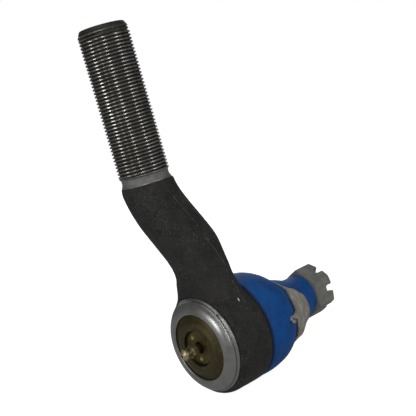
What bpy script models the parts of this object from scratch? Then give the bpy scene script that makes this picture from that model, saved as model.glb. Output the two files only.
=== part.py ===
"""Heavy-duty tie rod end: forged, cranked socket body with a ball stud, seats, cover, boot and nut.

Frame: the origin is the centre of the threaded stem's free end face and +Z runs out along the stem.
The stud stands across the stem, along +Y, with its slotted nut at the far end. The grease fitting
and the cover face -Y. The stud axis passes through (BALL_X, BALL_Z). All lengths are metres.
"""
import math

import bmesh
import bpy
from mathutils import Matrix, Vector

# ---- threaded stem and forged shank ----
STEM_RADIUS = 0.015875
THREAD_LENGTH = 0.0920
RELIEF_LENGTH = 0.0058
RELIEF_DEPTH = 0.0011
STEM_END_RADIUS = 0.0138
STEM_CHAMFER_LENGTH = 0.0039
SHANK_RADIUS = 0.0168
SHANK_ROOT_LENGTH = 0.0030
CRANK_OFFSET = 0.0310
CRANK_LENGTH = 0.0610
HEAD_BLEND_LENGTH = 0.0560
HEAD_OVERLAP = 0.0060
SHANK_ROOT_STEP = 0.0006
HEAD_SIDE_INSET = 0.0022
HEAD_FACE_INSET = 0.0012
HEAD_SIDE_RATE = 0.92
HEAD_FRONT_RATE = 1.6
HEAD_REAR_RATE = 2.3
HEAD_SQUARENESS = 3.2

# ---- ball socket ----
BALL_X = 0.0330
BALL_Z = -0.1963
BALL_Y = -0.0006
BALL_RADIUS = 0.0140
HOUSING_RADIUS = 0.0320
HOUSING_REAR_Y = 0.0078
HOUSING_EDGE_RADIUS = 0.0018
FACE_RADIUS = 0.0290
FACE_EDGE_Y = -0.0172
FACE_CORNER_LENGTH = 0.0042
FACE_STEP_WIDTH = 0.0016
FACE_STEP_HEIGHT = 0.0012
LIP_RADIUS = 0.0205
LIP_Y = -0.0220
LIP_THICKNESS = 0.0006
LIP_ROLL = 0.86
LIP_TRIM = 0.0001
BORE_RADIUS = 0.0193
COVER_RADIUS = 0.0218
COVER_THICKNESS = 0.0019
COVER_DOME = 0.0023
COVER_SHOULDER = 0.0062
RECESS_RADIUS = 0.0108
RECESS_DEPTH = 0.0020
RECESS_EASE = 0.0003
REAR_LIP_THICKNESS = 0.0028
REAR_OPENING_RADIUS = 0.0168
REAR_FLARE = 0.0026
BOOT_LAND_RADIUS = 0.0250
BOOT_LAND_HEIGHT = 0.0034
UPPER_SEAT_REACH = 0.0006
PRESSURE_FLANGE_DEPTH = 0.0066
PRESSURE_FLANGE_THICKNESS = 0.0026
PRESSURE_CUP_RADIUS = 0.0128
PRESSURE_CUP_FLOOR = 0.0026
PRESSURE_HOLE_DEG = 19.0
PRESSURE_RIM_DEG = 62.0
SPRING_WIRE = 0.0010
SPRING_TURNS = 2.6
SWING_DEG = 20.0

# ---- ball stud ----
NECK_RADIUS = 0.0080
TAPER_LARGE_Y = 0.0260
TAPER_LENGTH = 0.0380
TAPER_RATIO = 1.0 / 8.0
TAPER_SHOULDER_LENGTH = 0.0040
BALL_FLAT_DEG = 14.0
STUD_THREAD_RADIUS = 0.009525
STUD_END_Y = 0.0825
STUD_CHAMFER = 0.0016
STUD_UNDERCUT_DEPTH = 0.0010
STUD_UNDERCUT_LENGTH = 0.0030
COTTER_HOLE_RADIUS = 0.0020
COTTER_SET_BACK = 0.0050

# ---- slotted nut ----
NUT_ACROSS_FLATS = 0.028575
NUT_HEIGHT = 0.0156
NUT_Y = 0.0685
NUT_SLOT_WIDTH = 0.0047
NUT_SLOT_DEPTH = 0.0056
NUT_CHAMFER = 0.0016
NUT_COUNTERSINK = 0.0010

# ---- dust boot and its band ----
BOOT_WALL = 0.0024
BOOT_BELL_RADIUS = 0.0318
BOOT_BELL_LENGTH = 0.0110
BOOT_SHOULDER_POWER = 1.1
BOOT_WAIST_RADIUS = 0.0222
BOOT_WAIST_Y = 0.0390
BOOT_NECK_RADIUS = 0.0132
BOOT_FOOT_STEP = 0.0015
BAND_LOW_Y = 0.0400
BAND_WIDTH = 0.0130
BAND_THICKNESS = 0.0009
NECK_SEAL_Y = 0.0600
BOOT_STUD_CLEARANCE = 0.0012
NECK_RING_WIDTH = 0.0030
NECK_RING_THICKNESS = 0.0010
BASE_RING_WIRE = 0.0009
BASE_RING_RISE = 0.0016
BASE_GROOVE_DEPTH = 0.0007

# ---- grease fitting ----
FITTING_SHANK_RADIUS = 0.0030
FITTING_HEX = 0.0079
FITTING_HEX_HEIGHT = 0.0044
FITTING_STANDOFF = 0.0033
FITTING_HEAD_RADIUS = 0.00325
FITTING_NECK_RADIUS = 0.0024
FITTING_HEAD_LENGTH = 0.0062
FITTING_BALL_RADIUS = 0.0009
FITTING_CHAMBER_RADIUS = 0.00140
FITTING_BALL_TRAVEL = 0.0008
FITTING_BALL_DEPTH = 0.0019
FITTING_SEAT_DEPTH = 0.0012
FITTING_SPRING_WIRE = 0.00016
FITTING_SPRING_TURNS = 4

# ---- clearances, edge breaks and the reach of a cut past its piece ----
GAP = 0.0003
BALL_CLEARANCE = 0.00035
EDGE_BREAK = 0.0006
FINE_BREAK = 0.0004
OVERCUT = 0.0040

# ---- fineness of the turned shapes ----
TURN_STEPS = 36
SMALL_STEPS = 18
WIRE_STEPS_PER_TURN = 16

# ---- worked out from the above ----
COVER_FACE_Y = LIP_Y + LIP_THICKNESS + GAP
COVER_SEAT_Y = COVER_FACE_Y + COVER_THICKNESS + GAP
RECESS_FLOOR_Y = COVER_FACE_Y - COVER_DOME + RECESS_DEPTH
SEAT_ANGLE = math.radians(SWING_DEG) + math.asin(NECK_RADIUS / BALL_RADIUS) + math.radians(2.0)
SOCKET_SPHERE = BALL_RADIUS + BALL_CLEARANCE
PRESSURE_FLANGE_Y = BALL_Y - PRESSURE_FLANGE_DEPTH
SHANK_TOP_Z = -(THREAD_LENGTH + RELIEF_LENGTH)
HEAD_START_Z = BALL_Z + HEAD_BLEND_LENGTH
HEAD_END_Z = BALL_Z + HEAD_OVERLAP
TAPER_LARGE_RADIUS = STUD_THREAD_RADIUS + TAPER_LENGTH * TAPER_RATIO / 2.0
TAPER_SMALL_Y = TAPER_LARGE_Y + TAPER_LENGTH
LAND_END_Y = HOUSING_REAR_Y + BOOT_LAND_HEIGHT
BOOT_BASE_Y = HOUSING_REAR_Y + GAP
BASE_RING_Y = BOOT_BASE_Y + BASE_RING_RISE
BOOT_TOP_Y = NUT_Y - GAP
FITTING_HEX_Y = RECESS_FLOOR_Y - FITTING_STANDOFF
FITTING_HEAD_Y = FITTING_HEX_Y - FITTING_HEX_HEIGHT
FITTING_TIP_Y = FITTING_HEAD_Y - FITTING_HEAD_LENGTH
FITTING_BALL_Y = FITTING_TIP_Y + FITTING_BALL_DEPTH

MATERIALS = {
    "forged_steel": ((0.030, 0.029, 0.028), 0.62, 0.7),
    "hardened_steel": ((0.45, 0.44, 0.43), 0.25, 1.0),
    "spring_steel": ((0.16, 0.16, 0.17), 0.35, 1.0),
    "yellow_zinc": ((0.21, 0.16, 0.07), 0.42, 0.9),
    "fitting_brass": ((0.46, 0.36, 0.21), 0.34, 1.0),
    "blue_rubber": ((0.012, 0.090, 0.38), 0.62, 0.0),
    "plain_steel": ((0.22, 0.22, 0.22), 0.45, 1.0),
    "tan_band": ((0.42, 0.36, 0.27), 0.75, 0.0),
    "seat_polymer": ((0.62, 0.60, 0.55), 0.50, 0.0),
}


def clear_scene():
    """Empty the scene, so that a second run starts from nothing."""
    for item in list(bpy.data.objects):
        bpy.data.objects.remove(item, do_unlink=True)


def new_collection(name):
    """Add a collection to the scene."""
    collection = bpy.data.collections.new(name)
    bpy.context.scene.collection.children.link(collection)
    return collection


def material(name):
    """Return the named Principled material, made once."""
    found = bpy.data.materials.get(name)
    if found:
        return found
    colour, roughness, metallic = MATERIALS[name]
    made = bpy.data.materials.new(name)
    made.use_nodes = True
    shader = made.node_tree.nodes["Principled BSDF"]
    shader.inputs["Base Color"].default_value = (*colour, 1.0)
    shader.inputs["Roughness"].default_value = roughness
    shader.inputs["Metallic"].default_value = metallic
    return made


def add_object(name, mesh, collection, finish=None):
    """Put a mesh in a collection as a named object, with its finish if it has one."""
    item = bpy.data.objects.new(name, mesh)
    collection.objects.link(item)
    if finish:
        mesh.materials.append(material(finish))
    return item


def hide_as_cutter(item):
    """Keep a helper out of renders and show it as wire."""
    item.hide_render = True
    item.display_type = "WIRE"
    return item


def screw_turn(item, steps):
    """Turn the object's outline once about its own Z."""
    screw = item.modifiers.new("turn", "SCREW")
    screw.steps = steps
    screw.render_steps = steps
    screw.use_merge_vertices = True
    screw.merge_threshold = 0.00001


def turned(name, profile, collection, finish=None, origin_y=0.0, steps=TURN_STEPS):
    """Turn a closed (radius, y) outline about the stud axis with a Screw modifier.

    The outline runs down the outer side first, from the high-y end to the low-y end.
    A point on the axis is written with radius 0.
    """
    mesh = bpy.data.meshes.new(name)
    points = [(radius, 0.0, y - origin_y) for radius, y in profile]
    closed = all(radius > 0.0 for radius, _ in profile)
    edges = [(i, i + 1) for i in range(len(points) - 1)]
    if closed:
        edges.append((len(points) - 1, 0))
    mesh.from_pydata(points, edges, [])
    item = add_object(name, mesh, collection, finish)
    screw_turn(item, steps)
    item.rotation_euler = (-math.pi / 2.0, 0.0, 0.0)
    item.location = (BALL_X, origin_y, BALL_Z)
    return item


def arc(radius, centre_y, start, end, count):
    """Points on a circle about the stud axis, by angle from +Y, as (radius, y)."""
    points = []
    for i in range(count + 1):
        angle = start + (end - start) * i / count
        points.append((radius * math.sin(angle), centre_y + radius * math.cos(angle)))
    return points


def rolled_edge(start, end, rows):
    """Quarter ellipse that leaves start along the stud axis and comes square to it at end."""
    points = []
    for i in range(1, rows + 1):
        angle = 0.5 * math.pi * i / rows
        radius = start[0] + (end[0] - start[0]) * (1.0 - math.cos(angle))
        points.append((radius, start[1] + (end[1] - start[1]) * math.sin(angle)))
    return points


def helix(radius, start_y, end_y, turns):
    """Points of a coil about the stud axis."""
    count = round(turns * WIRE_STEPS_PER_TURN)
    points = []
    for i in range(count + 1):
        t = i / count
        angle = 2.0 * math.pi * turns * t
        points.append((BALL_X + radius * math.cos(angle), start_y + (end_y - start_y) * t,
                       BALL_Z + radius * math.sin(angle)))
    return points


def wire(name, points, radius, collection, finish, resolution=2):
    """A bent wire as a filled, bevelled curve."""
    curve = bpy.data.curves.new(name, "CURVE")
    curve.dimensions = "3D"
    curve.bevel_depth = radius
    curve.bevel_resolution = resolution
    curve.use_fill_caps = True
    spline = curve.splines.new("POLY")
    spline.points.add(len(points) - 1)
    for place, point in zip(spline.points, points):
        place.co = (*point, 1.0)
    item = bpy.data.objects.new(name, curve)
    collection.objects.link(item)
    curve.materials.append(material(finish))
    return item


def cylinder_between(name, start, end, radius, collection, sides=32):
    """A closed cylinder between two points, for cuts."""
    axis = Vector(end) - Vector(start)
    mesh = bpy.data.meshes.new(name)
    form = bmesh.new()
    bmesh.ops.create_cone(form, cap_ends=True, segments=sides, radius1=radius, radius2=radius,
                          depth=axis.length)
    form.to_mesh(mesh)
    form.free()
    item = add_object(name, mesh, collection)
    item.rotation_euler = axis.to_track_quat("Z", "Y").to_euler()
    item.location = (Vector(start) + Vector(end)) / 2.0
    return item


def boolean(item, cutter, operation):
    """Join, cut or trim an object with a helper, as a live modifier."""
    step = item.modifiers.new(cutter.name, "BOOLEAN")
    step.object = cutter
    step.operation = operation
    step.solver = "EXACT"


def shade(item, degrees=35.0):
    """Smooth shading, with creases kept sharp."""
    mesh = item.data
    mesh.shade_smooth()
    mesh.set_sharp_from_angle(angle=math.radians(degrees))


def smooth_step(t):
    """Ease from 0 to 1, held outside that range."""
    t = min(max(t, 0.0), 1.0)
    return t * t * (3.0 - 2.0 * t)


def blend(a, b, t):
    """Eased value between a and b."""
    return a + (b - a) * smooth_step(t)


# ------------------------------------------------------------------ forged socket body

def shank_centre_x(z):
    """Sideways place of the shank's centre: an S-bend, then a drift to the stud axis."""
    crank = CRANK_OFFSET * smooth_step((SHANK_TOP_Z - z) / CRANK_LENGTH)
    drift = (BALL_X - CRANK_OFFSET) * smooth_step((HEAD_START_Z - z) / (HEAD_START_Z - BALL_Z))
    return crank + drift


def shank_slope(z):
    """Sideways run of the shank's centre for each unit of height."""
    step = 0.0005
    return (shank_centre_x(z + step) - shank_centre_x(z - step)) / (2.0 * step)


def shank_section(z):
    """Half width across the crank plane, front y, rear y of the forging at height z."""
    grow = (HEAD_START_Z - z) / (HEAD_START_Z - HEAD_END_Z)
    root = (SHANK_TOP_Z - z) / SHANK_ROOT_LENGTH
    radius = blend(SHANK_RADIUS - SHANK_ROOT_STEP, SHANK_RADIUS, root)
    half_width = blend(radius, HOUSING_RADIUS - HEAD_SIDE_INSET, grow * HEAD_SIDE_RATE)
    front = blend(-radius, FACE_EDGE_Y + HEAD_FACE_INSET, grow * HEAD_FRONT_RATE)
    rear = blend(radius, HOUSING_REAR_Y, grow * HEAD_REAR_RATE)
    return half_width, front, rear


def make_shank(collection):
    """Loft from the round shank to the flat-sided neck that runs into the ball housing."""
    sides = 28
    rows = 24
    form = bmesh.new()
    rings = []
    for i in range(rows + 1):
        z = SHANK_TOP_Z + (HEAD_END_Z - SHANK_TOP_Z) * i / rows
        half_width, front, rear = shank_section(z)
        slope = shank_slope(z)
        stretch = math.sqrt(1.0 + slope * slope)
        lean = -slope / stretch
        grow = (HEAD_START_Z - z) / (HEAD_START_Z - HEAD_END_Z)
        squareness = blend(2.0, HEAD_SQUARENESS, grow)
        ring = []
        for k in range(sides):
            angle = 2.0 * math.pi * k / sides
            across = math.copysign(abs(math.cos(angle)) ** (2.0 / squareness), math.cos(angle))
            deep = math.copysign(abs(math.sin(angle)) ** (2.0 / squareness), math.sin(angle))
            depth = rear if deep > 0.0 else -front
            x = shank_centre_x(z) + half_width * across / stretch
            ring.append(form.verts.new((x, depth * deep, z + half_width * across * lean)))
        rings.append(ring)
    for upper, lower in zip(rings[:-1], rings[1:]):
        for k in range(sides):
            n = (k + 1) % sides
            form.faces.new((upper[n], upper[k], lower[k], lower[n]))
    form.faces.new(rings[0])
    form.faces.new(list(reversed(rings[-1])))
    bmesh.ops.recalc_face_normals(form, faces=form.faces)
    mesh = bpy.data.meshes.new("shank_loft")
    form.to_mesh(mesh)
    form.free()
    return hide_as_cutter(add_object("shank_loft", mesh, collection))


def make_stem(collection):
    """The stem at its thread's outer size, with an end chamfer and the run-out groove."""
    relief = STEM_RADIUS - RELIEF_DEPTH
    ease = RELIEF_DEPTH * 0.4
    top = -THREAD_LENGTH
    foot = SHANK_TOP_Z - SHANK_ROOT_LENGTH
    profile = [
        (0.0, 0.0),
        (STEM_END_RADIUS, 0.0),
        (STEM_RADIUS, -STEM_CHAMFER_LENGTH),
        (STEM_RADIUS, top),
        (relief, top - RELIEF_DEPTH),
        (relief, SHANK_TOP_Z + ease),
        (relief + ease, SHANK_TOP_Z),
        (relief + ease, foot),
        (0.0, foot),
    ]
    mesh = bpy.data.meshes.new("socket_body")
    points = [(radius, 0.0, z) for radius, z in profile]
    mesh.from_pydata(points, [(i, i + 1) for i in range(len(points) - 1)], [])
    item = add_object("socket_body", mesh, collection, "forged_steel")
    screw_turn(item, TURN_STEPS)
    return item


def housing_outline():
    """Outside of the ball housing: boot land, forged barrel, machined face and rolled lip."""
    edge = HOUSING_EDGE_RADIUS * 0.5
    step = (FACE_RADIUS - FACE_STEP_WIDTH, FACE_EDGE_Y - FACE_STEP_HEIGHT)
    crest = step[0] - (step[0] - LIP_RADIUS) * LIP_ROLL
    corner = (HOUSING_RADIUS, FACE_EDGE_Y + FACE_CORNER_LENGTH)
    outline = [
        (0.0, LAND_END_Y),
        (BOOT_LAND_RADIUS - FINE_BREAK, LAND_END_Y),
        (BOOT_LAND_RADIUS, LAND_END_Y - FINE_BREAK),
        (BOOT_LAND_RADIUS, HOUSING_REAR_Y),
        (HOUSING_RADIUS - edge, HOUSING_REAR_Y),
        (HOUSING_RADIUS, HOUSING_REAR_Y - edge),
        corner,
    ]
    outline += rolled_edge(corner, (FACE_RADIUS, FACE_EDGE_Y), 3)
    outline.append((FACE_RADIUS - FACE_STEP_WIDTH * 0.15, FACE_EDGE_Y - FACE_STEP_HEIGHT * 0.75))
    outline.append(step)
    outline += rolled_edge(step, (crest, LIP_Y), 5)
    outline.append((LIP_RADIUS, LIP_Y + LIP_TRIM))
    outline.append((0.0, LIP_Y + LIP_TRIM))
    return outline


def socket_cavity():
    """Everything bored out of the housing, from the cover side through to the boot side."""
    rear_lip_y = HOUSING_REAR_Y - REAR_LIP_THICKNESS
    past_land = LAND_END_Y + OVERCUT
    under_lip = LIP_Y + LIP_THICKNESS
    mouth = LIP_RADIUS - LIP_TRIM
    return [
        (0.0, past_land),
        (REAR_OPENING_RADIUS + REAR_FLARE * 1.3, past_land),
        (REAR_OPENING_RADIUS + REAR_FLARE, LAND_END_Y),
        (REAR_OPENING_RADIUS, HOUSING_REAR_Y - FINE_BREAK),
        (REAR_OPENING_RADIUS, rear_lip_y),
        (BORE_RADIUS, rear_lip_y),
        (BORE_RADIUS, COVER_SEAT_Y),
        (COVER_RADIUS + GAP, COVER_SEAT_Y),
        (COVER_RADIUS + GAP, under_lip),
        (mouth, under_lip),
        (mouth, LIP_Y - OVERCUT),
        (0.0, LIP_Y - OVERCUT),
    ]


def base_ring_groove():
    """Round-bottomed groove on the boot land, where the retaining ring snaps in."""
    reach = BASE_RING_WIRE + GAP
    floor = BOOT_LAND_RADIUS - BASE_GROOVE_DEPTH
    return [
        (BOOT_LAND_RADIUS + OVERCUT, BASE_RING_Y + reach),
        (BOOT_LAND_RADIUS + OVERCUT, BASE_RING_Y - reach),
        (floor, BASE_RING_Y - reach * 0.8),
        (floor, BASE_RING_Y + reach * 0.8),
    ]


def make_socket_body(parts, cutters):
    """Stem, shank and housing joined as one forging, then bored and grooved."""
    body = make_stem(parts)
    shank = make_shank(cutters)
    housing = hide_as_cutter(turned("housing_blank", housing_outline(), cutters))
    cavity = hide_as_cutter(turned("socket_cavity", socket_cavity(), cutters))
    groove = hide_as_cutter(turned("base_ring_groove", base_ring_groove(), cutters))
    boolean(body, shank, "UNION")
    boolean(body, housing, "UNION")
    boolean(body, cavity, "DIFFERENCE")
    boolean(body, groove, "DIFFERENCE")
    return body


# ------------------------------------------------------------------ seats, spring and cover

def make_upper_seat(parts):
    """Hardened ring that the ball bears against on the stud side."""
    outer = BORE_RADIUS - GAP
    shoulder_y = HOUSING_REAR_Y - REAR_LIP_THICKNESS - GAP
    collar = REAR_OPENING_RADIUS - GAP
    lip = (SOCKET_SPHERE * math.sin(SEAT_ANGLE), BALL_Y + SOCKET_SPHERE * math.cos(SEAT_ANGLE))
    collar_y = lip[1] + FINE_BREAK
    foot_y = BALL_Y - UPPER_SEAT_REACH
    profile = [
        (collar - FINE_BREAK, collar_y),
        (collar, collar_y - FINE_BREAK),
        (collar, shoulder_y),
        (outer, shoulder_y),
        (outer, foot_y),
        (SOCKET_SPHERE + FINE_BREAK, foot_y),
    ]
    profile += list(reversed(arc(SOCKET_SPHERE, BALL_Y, SEAT_ANGLE, math.radians(90.0), 4)))
    profile.append((lip[0] + FINE_BREAK, collar_y))
    return turned("upper_seat", profile, parts, "hardened_steel")


def make_pressure_seat(parts):
    """Sprung cup behind the ball; its flange guides it in the bore and carries the spring."""
    flange_foot = PRESSURE_FLANGE_Y - PRESSURE_FLANGE_THICKNESS
    cup_foot = BALL_Y - BALL_RADIUS - PRESSURE_CUP_FLOOR
    hole = math.radians(180.0 - PRESSURE_HOLE_DEG)
    rim = math.radians(180.0 - PRESSURE_RIM_DEG)
    profile = [
        (BORE_RADIUS - GAP, PRESSURE_FLANGE_Y),
        (BORE_RADIUS - GAP, flange_foot),
        (PRESSURE_CUP_RADIUS + EDGE_BREAK, flange_foot),
        (PRESSURE_CUP_RADIUS, flange_foot - EDGE_BREAK),
        (PRESSURE_CUP_RADIUS, cup_foot + EDGE_BREAK),
        (PRESSURE_CUP_RADIUS - EDGE_BREAK, cup_foot),
        (SOCKET_SPHERE * math.sin(hole), cup_foot),
    ]
    profile += list(reversed(arc(SOCKET_SPHERE, BALL_Y, rim, hole, 5)))
    profile.append((SOCKET_SPHERE * math.sin(rim) + EDGE_BREAK, PRESSURE_FLANGE_Y))
    return turned("pressure_seat", profile, parts, "seat_polymer", origin_y=BALL_Y)


def make_seat_spring(parts):
    """Round-wire coil between the pressure seat's flange and the cover."""
    start_y = PRESSURE_FLANGE_Y - PRESSURE_FLANGE_THICKNESS - GAP - SPRING_WIRE
    end_y = COVER_FACE_Y + COVER_THICKNESS + GAP + SPRING_WIRE
    radius = (PRESSURE_CUP_RADIUS + BORE_RADIUS) / 2.0
    points = helix(radius, start_y, end_y, SPRING_TURNS)
    return wire("seat_spring", points, SPRING_WIRE, parts, "spring_steel")


def make_cover(parts):
    """Dished plate rolled into the housing, with a raised ring round a sunk centre."""
    face = COVER_FACE_Y
    crown = face - COVER_DOME
    hole = FITTING_SHANK_RADIUS + GAP
    visible = LIP_RADIUS - LIP_TRIM - GAP
    rim = RECESS_RADIUS + 4.0 * RECESS_EASE
    outer = [(COVER_RADIUS, face + COVER_THICKNESS), (COVER_RADIUS, face), (visible, face)]
    outer += rolled_edge((visible, face), (visible - COVER_SHOULDER, crown), 3)
    outer += [
        (rim, crown),
        (RECESS_RADIUS + RECESS_EASE, crown + FINE_BREAK),
        (RECESS_RADIUS - RECESS_EASE, RECESS_FLOOR_Y - RECESS_EASE),
        (RECESS_RADIUS - 3.0 * RECESS_EASE, RECESS_FLOOR_Y),
        (hole + EDGE_BREAK, RECESS_FLOOR_Y),
        (hole, RECESS_FLOOR_Y + EDGE_BREAK),
        (hole, RECESS_FLOOR_Y + COVER_THICKNESS),
        (rim, RECESS_FLOOR_Y + COVER_THICKNESS),
        (rim + RECESS_EASE, face + COVER_THICKNESS),
    ]
    return turned("cover_plate", outer, parts, "yellow_zinc")


# ------------------------------------------------------------------ ball stud and nut

def make_ball_stud(parts, cutters):
    """Ball, neck, taper and threaded end in one piece, with the split-pin hole across it."""
    neck_angle = math.asin(NECK_RADIUS / BALL_RADIUS)
    neck_y = BALL_Y + BALL_RADIUS * math.cos(neck_angle)
    under_thread = STUD_THREAD_RADIUS - STUD_UNDERCUT_DEPTH
    shoulder_y = TAPER_LARGE_Y - TAPER_SHOULDER_LENGTH
    ball_end = math.radians(180.0 - BALL_FLAT_DEG)
    profile = [
        (0.0, STUD_END_Y),
        (STUD_THREAD_RADIUS - STUD_CHAMFER, STUD_END_Y),
        (STUD_THREAD_RADIUS, STUD_END_Y - STUD_CHAMFER),
        (STUD_THREAD_RADIUS, TAPER_SMALL_Y + STUD_UNDERCUT_LENGTH),
        (under_thread, TAPER_SMALL_Y + STUD_UNDERCUT_LENGTH - EDGE_BREAK),
        (under_thread, TAPER_SMALL_Y + EDGE_BREAK),
        (STUD_THREAD_RADIUS, TAPER_SMALL_Y),
        (TAPER_LARGE_RADIUS, TAPER_LARGE_Y),
        (TAPER_LARGE_RADIUS - EDGE_BREAK, TAPER_LARGE_Y - 2.0 * EDGE_BREAK),
        (TAPER_LARGE_RADIUS - 3.0 * EDGE_BREAK, shoulder_y),
        (NECK_RADIUS + 2.0 * FINE_BREAK, (neck_y + shoulder_y) / 2.0 + FINE_BREAK),
        (NECK_RADIUS, neck_y + 2.0 * EDGE_BREAK),
    ]
    profile += arc(BALL_RADIUS, BALL_Y, neck_angle, ball_end, 12)
    profile.append((0.0, BALL_Y + BALL_RADIUS * math.cos(ball_end)))
    stud = turned("ball_stud", profile, parts, "hardened_steel", origin_y=BALL_Y)
    hole_y = STUD_END_Y - COTTER_SET_BACK
    reach = STUD_THREAD_RADIUS * 1.5
    cutter = cylinder_between("cotter_hole", (BALL_X - reach, hole_y, BALL_Z),
                              (BALL_X + reach, hole_y, BALL_Z), COTTER_HOLE_RADIUS, cutters, 20)
    boolean(stud, hide_as_cutter(cutter), "DIFFERENCE")
    return stud


def make_nut(parts, cutters):
    """Hexagon slotted nut: six slots across the flats at the stud's end."""
    corner = NUT_ACROSS_FLATS / 2.0 / math.cos(math.pi / 6.0)
    mesh = bpy.data.meshes.new("slotted_nut")
    form = bmesh.new()
    bmesh.ops.create_cone(form, cap_ends=True, segments=6, radius1=corner, radius2=corner,
                          depth=NUT_HEIGHT)
    bmesh.ops.rotate(form, cent=(0.0, 0.0, 0.0), matrix=Matrix.Rotation(math.pi / 6.0, 3, "Z"),
                     verts=form.verts)
    bmesh.ops.translate(form, vec=(0.0, 0.0, NUT_HEIGHT / 2.0), verts=form.verts)
    form.to_mesh(mesh)
    form.free()
    nut = add_object("slotted_nut", mesh, parts, "plain_steel")
    nut.rotation_euler = (-math.pi / 2.0, 0.0, 0.0)
    nut.location = (BALL_X, NUT_Y, BALL_Z)
    top = NUT_Y + NUT_HEIGHT
    flat = NUT_ACROSS_FLATS / 2.0
    barrel = [
        (0.0, top + OVERCUT),
        (flat - FINE_BREAK - NUT_CHAMFER, top + OVERCUT),
        (flat - FINE_BREAK, top),
        (corner + EDGE_BREAK, top - NUT_CHAMFER),
        (corner + EDGE_BREAK, NUT_Y + NUT_CHAMFER * 0.7),
        (flat - FINE_BREAK, NUT_Y),
        (0.0, NUT_Y),
    ]
    trimmed = hide_as_cutter(turned("nut_chamfer", barrel, cutters))
    bore = STUD_THREAD_RADIUS + GAP
    flared = bore + NUT_COUNTERSINK
    hole = [
        (0.0, top + OVERCUT),
        (flared, top + OVERCUT),
        (flared, top),
        (bore, top - NUT_COUNTERSINK),
        (bore, NUT_Y + NUT_COUNTERSINK),
        (flared, NUT_Y),
        (flared, NUT_Y - OVERCUT),
        (0.0, NUT_Y - OVERCUT),
    ]
    bored = hide_as_cutter(turned("nut_bore", hole, cutters))
    boolean(nut, trimmed, "INTERSECT")
    boolean(nut, bored, "DIFFERENCE")
    for k in range(3):
        slot_mesh = bpy.data.meshes.new(f"nut_slot_{k}")
        form = bmesh.new()
        bmesh.ops.create_cube(form, size=1.0)
        size = (corner * 2.4, NUT_SLOT_DEPTH * 2.0, NUT_SLOT_WIDTH)
        bmesh.ops.scale(form, vec=size, verts=form.verts)
        form.to_mesh(slot_mesh)
        form.free()
        slot = hide_as_cutter(add_object(f"nut_slot_{k}", slot_mesh, cutters))
        slot.location = (BALL_X, top, BALL_Z)
        slot.rotation_euler = (0.0, math.radians(60.0 * k), 0.0)
        boolean(nut, slot, "DIFFERENCE")
    return nut


# ------------------------------------------------------------------ boot, rings and band

def boot_outer(y):
    """Outer radius of the boot at y: bell, shoulder, then the tapering neck."""
    bell_end = BOOT_BASE_Y + BOOT_BELL_LENGTH
    if y <= bell_end:
        return BOOT_BELL_RADIUS
    if y <= BOOT_WAIST_Y:
        t = (y - bell_end) / (BOOT_WAIST_Y - bell_end)
        drop = BOOT_BELL_RADIUS - BOOT_WAIST_RADIUS
        return BOOT_BELL_RADIUS - drop * (1.0 - math.cos(0.5 * math.pi * t)) ** BOOT_SHOULDER_POWER
    t = (y - BOOT_WAIST_Y) / (BOOT_TOP_Y - BOOT_WAIST_Y)
    return BOOT_WAIST_RADIUS + (BOOT_NECK_RADIUS - BOOT_WAIST_RADIUS) * t


def stud_radius(y):
    """Radius of the stud's taper at y."""
    return TAPER_LARGE_RADIUS - (y - TAPER_LARGE_Y) * TAPER_RATIO / 2.0


def boot_inner(y):
    """Inner radius of the boot, one wall inside the outside and clear of the stud."""
    skin = boot_outer(y + BOOT_WALL * 0.4) - BOOT_WALL
    return max(skin, stud_radius(max(y, TAPER_LARGE_Y)) + BOOT_STUD_CLEARANCE)


def boot_foot():
    """The boot's foot: a thick lip that sits over the land and the base ring."""
    land = BOOT_LAND_RADIUS + GAP
    lip_y = BOOT_BASE_Y + BOOT_LAND_HEIGHT
    return [
        (BOOT_BELL_RADIUS - EDGE_BREAK, BOOT_BASE_Y),
        (land + BOOT_FOOT_STEP, BOOT_BASE_Y),
        (land + BOOT_FOOT_STEP, lip_y - EDGE_BREAK - FINE_BREAK),
        (land, lip_y - EDGE_BREAK),
        (land, lip_y + BOOT_FOOT_STEP),
        (BOOT_BELL_RADIUS - BOOT_WALL, lip_y + BOOT_LAND_HEIGHT),
    ]


def make_boot(parts):
    """Moulded boot: bell over the housing, waist, and a neck that seals on the taper."""
    rows = 15
    outside = []
    for i in range(rows + 1):
        y = BOOT_TOP_Y - (BOOT_TOP_Y - BOOT_BASE_Y - EDGE_BREAK) * i / rows
        radius = boot_outer(y) - (EDGE_BREAK if i == 0 else 0.0)
        outside.append((radius, y))
    inside = []
    inner_rows = 8
    start_y = BOOT_BASE_Y + BOOT_LAND_HEIGHT + BOOT_FOOT_STEP * 4.0
    ring_foot = NECK_SEAL_Y - NECK_RING_WIDTH / 2.0 - GAP
    ring_head = NECK_SEAL_Y + NECK_RING_WIDTH / 2.0 + GAP
    inner_end_y = ring_foot - EDGE_BREAK - FINE_BREAK
    for i in range(inner_rows + 1):
        y = start_y + (inner_end_y - start_y) * i / inner_rows
        inside.append((boot_inner(y), y))
    sealing = stud_radius(NECK_SEAL_Y) + 2.0 * GAP
    ring_outer = sealing + NECK_RING_THICKNESS + GAP
    inside += [
        (sealing, ring_foot - FINE_BREAK),
        (sealing, ring_foot),
        (ring_outer, ring_foot),
        (ring_outer, ring_head),
        (sealing, ring_head),
        (STUD_THREAD_RADIUS + NUT_COUNTERSINK, BOOT_TOP_Y),
    ]
    return turned("dust_boot", outside + boot_foot() + inside, parts, "blue_rubber")


def make_base_ring(parts):
    """Wire ring in the boot's foot; the real ring's split is closed."""
    centre = BOOT_LAND_RADIUS + FINE_BREAK
    sides = 6
    profile = []
    for i in range(sides):
        angle = math.pi / 2.0 - 2.0 * math.pi * i / sides
        profile.append((centre + BASE_RING_WIRE * math.cos(angle) * 0.9,
                        BASE_RING_Y + BASE_RING_WIRE * math.sin(angle)))
    return turned("boot_base_ring", profile, parts, "spring_steel")


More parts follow.
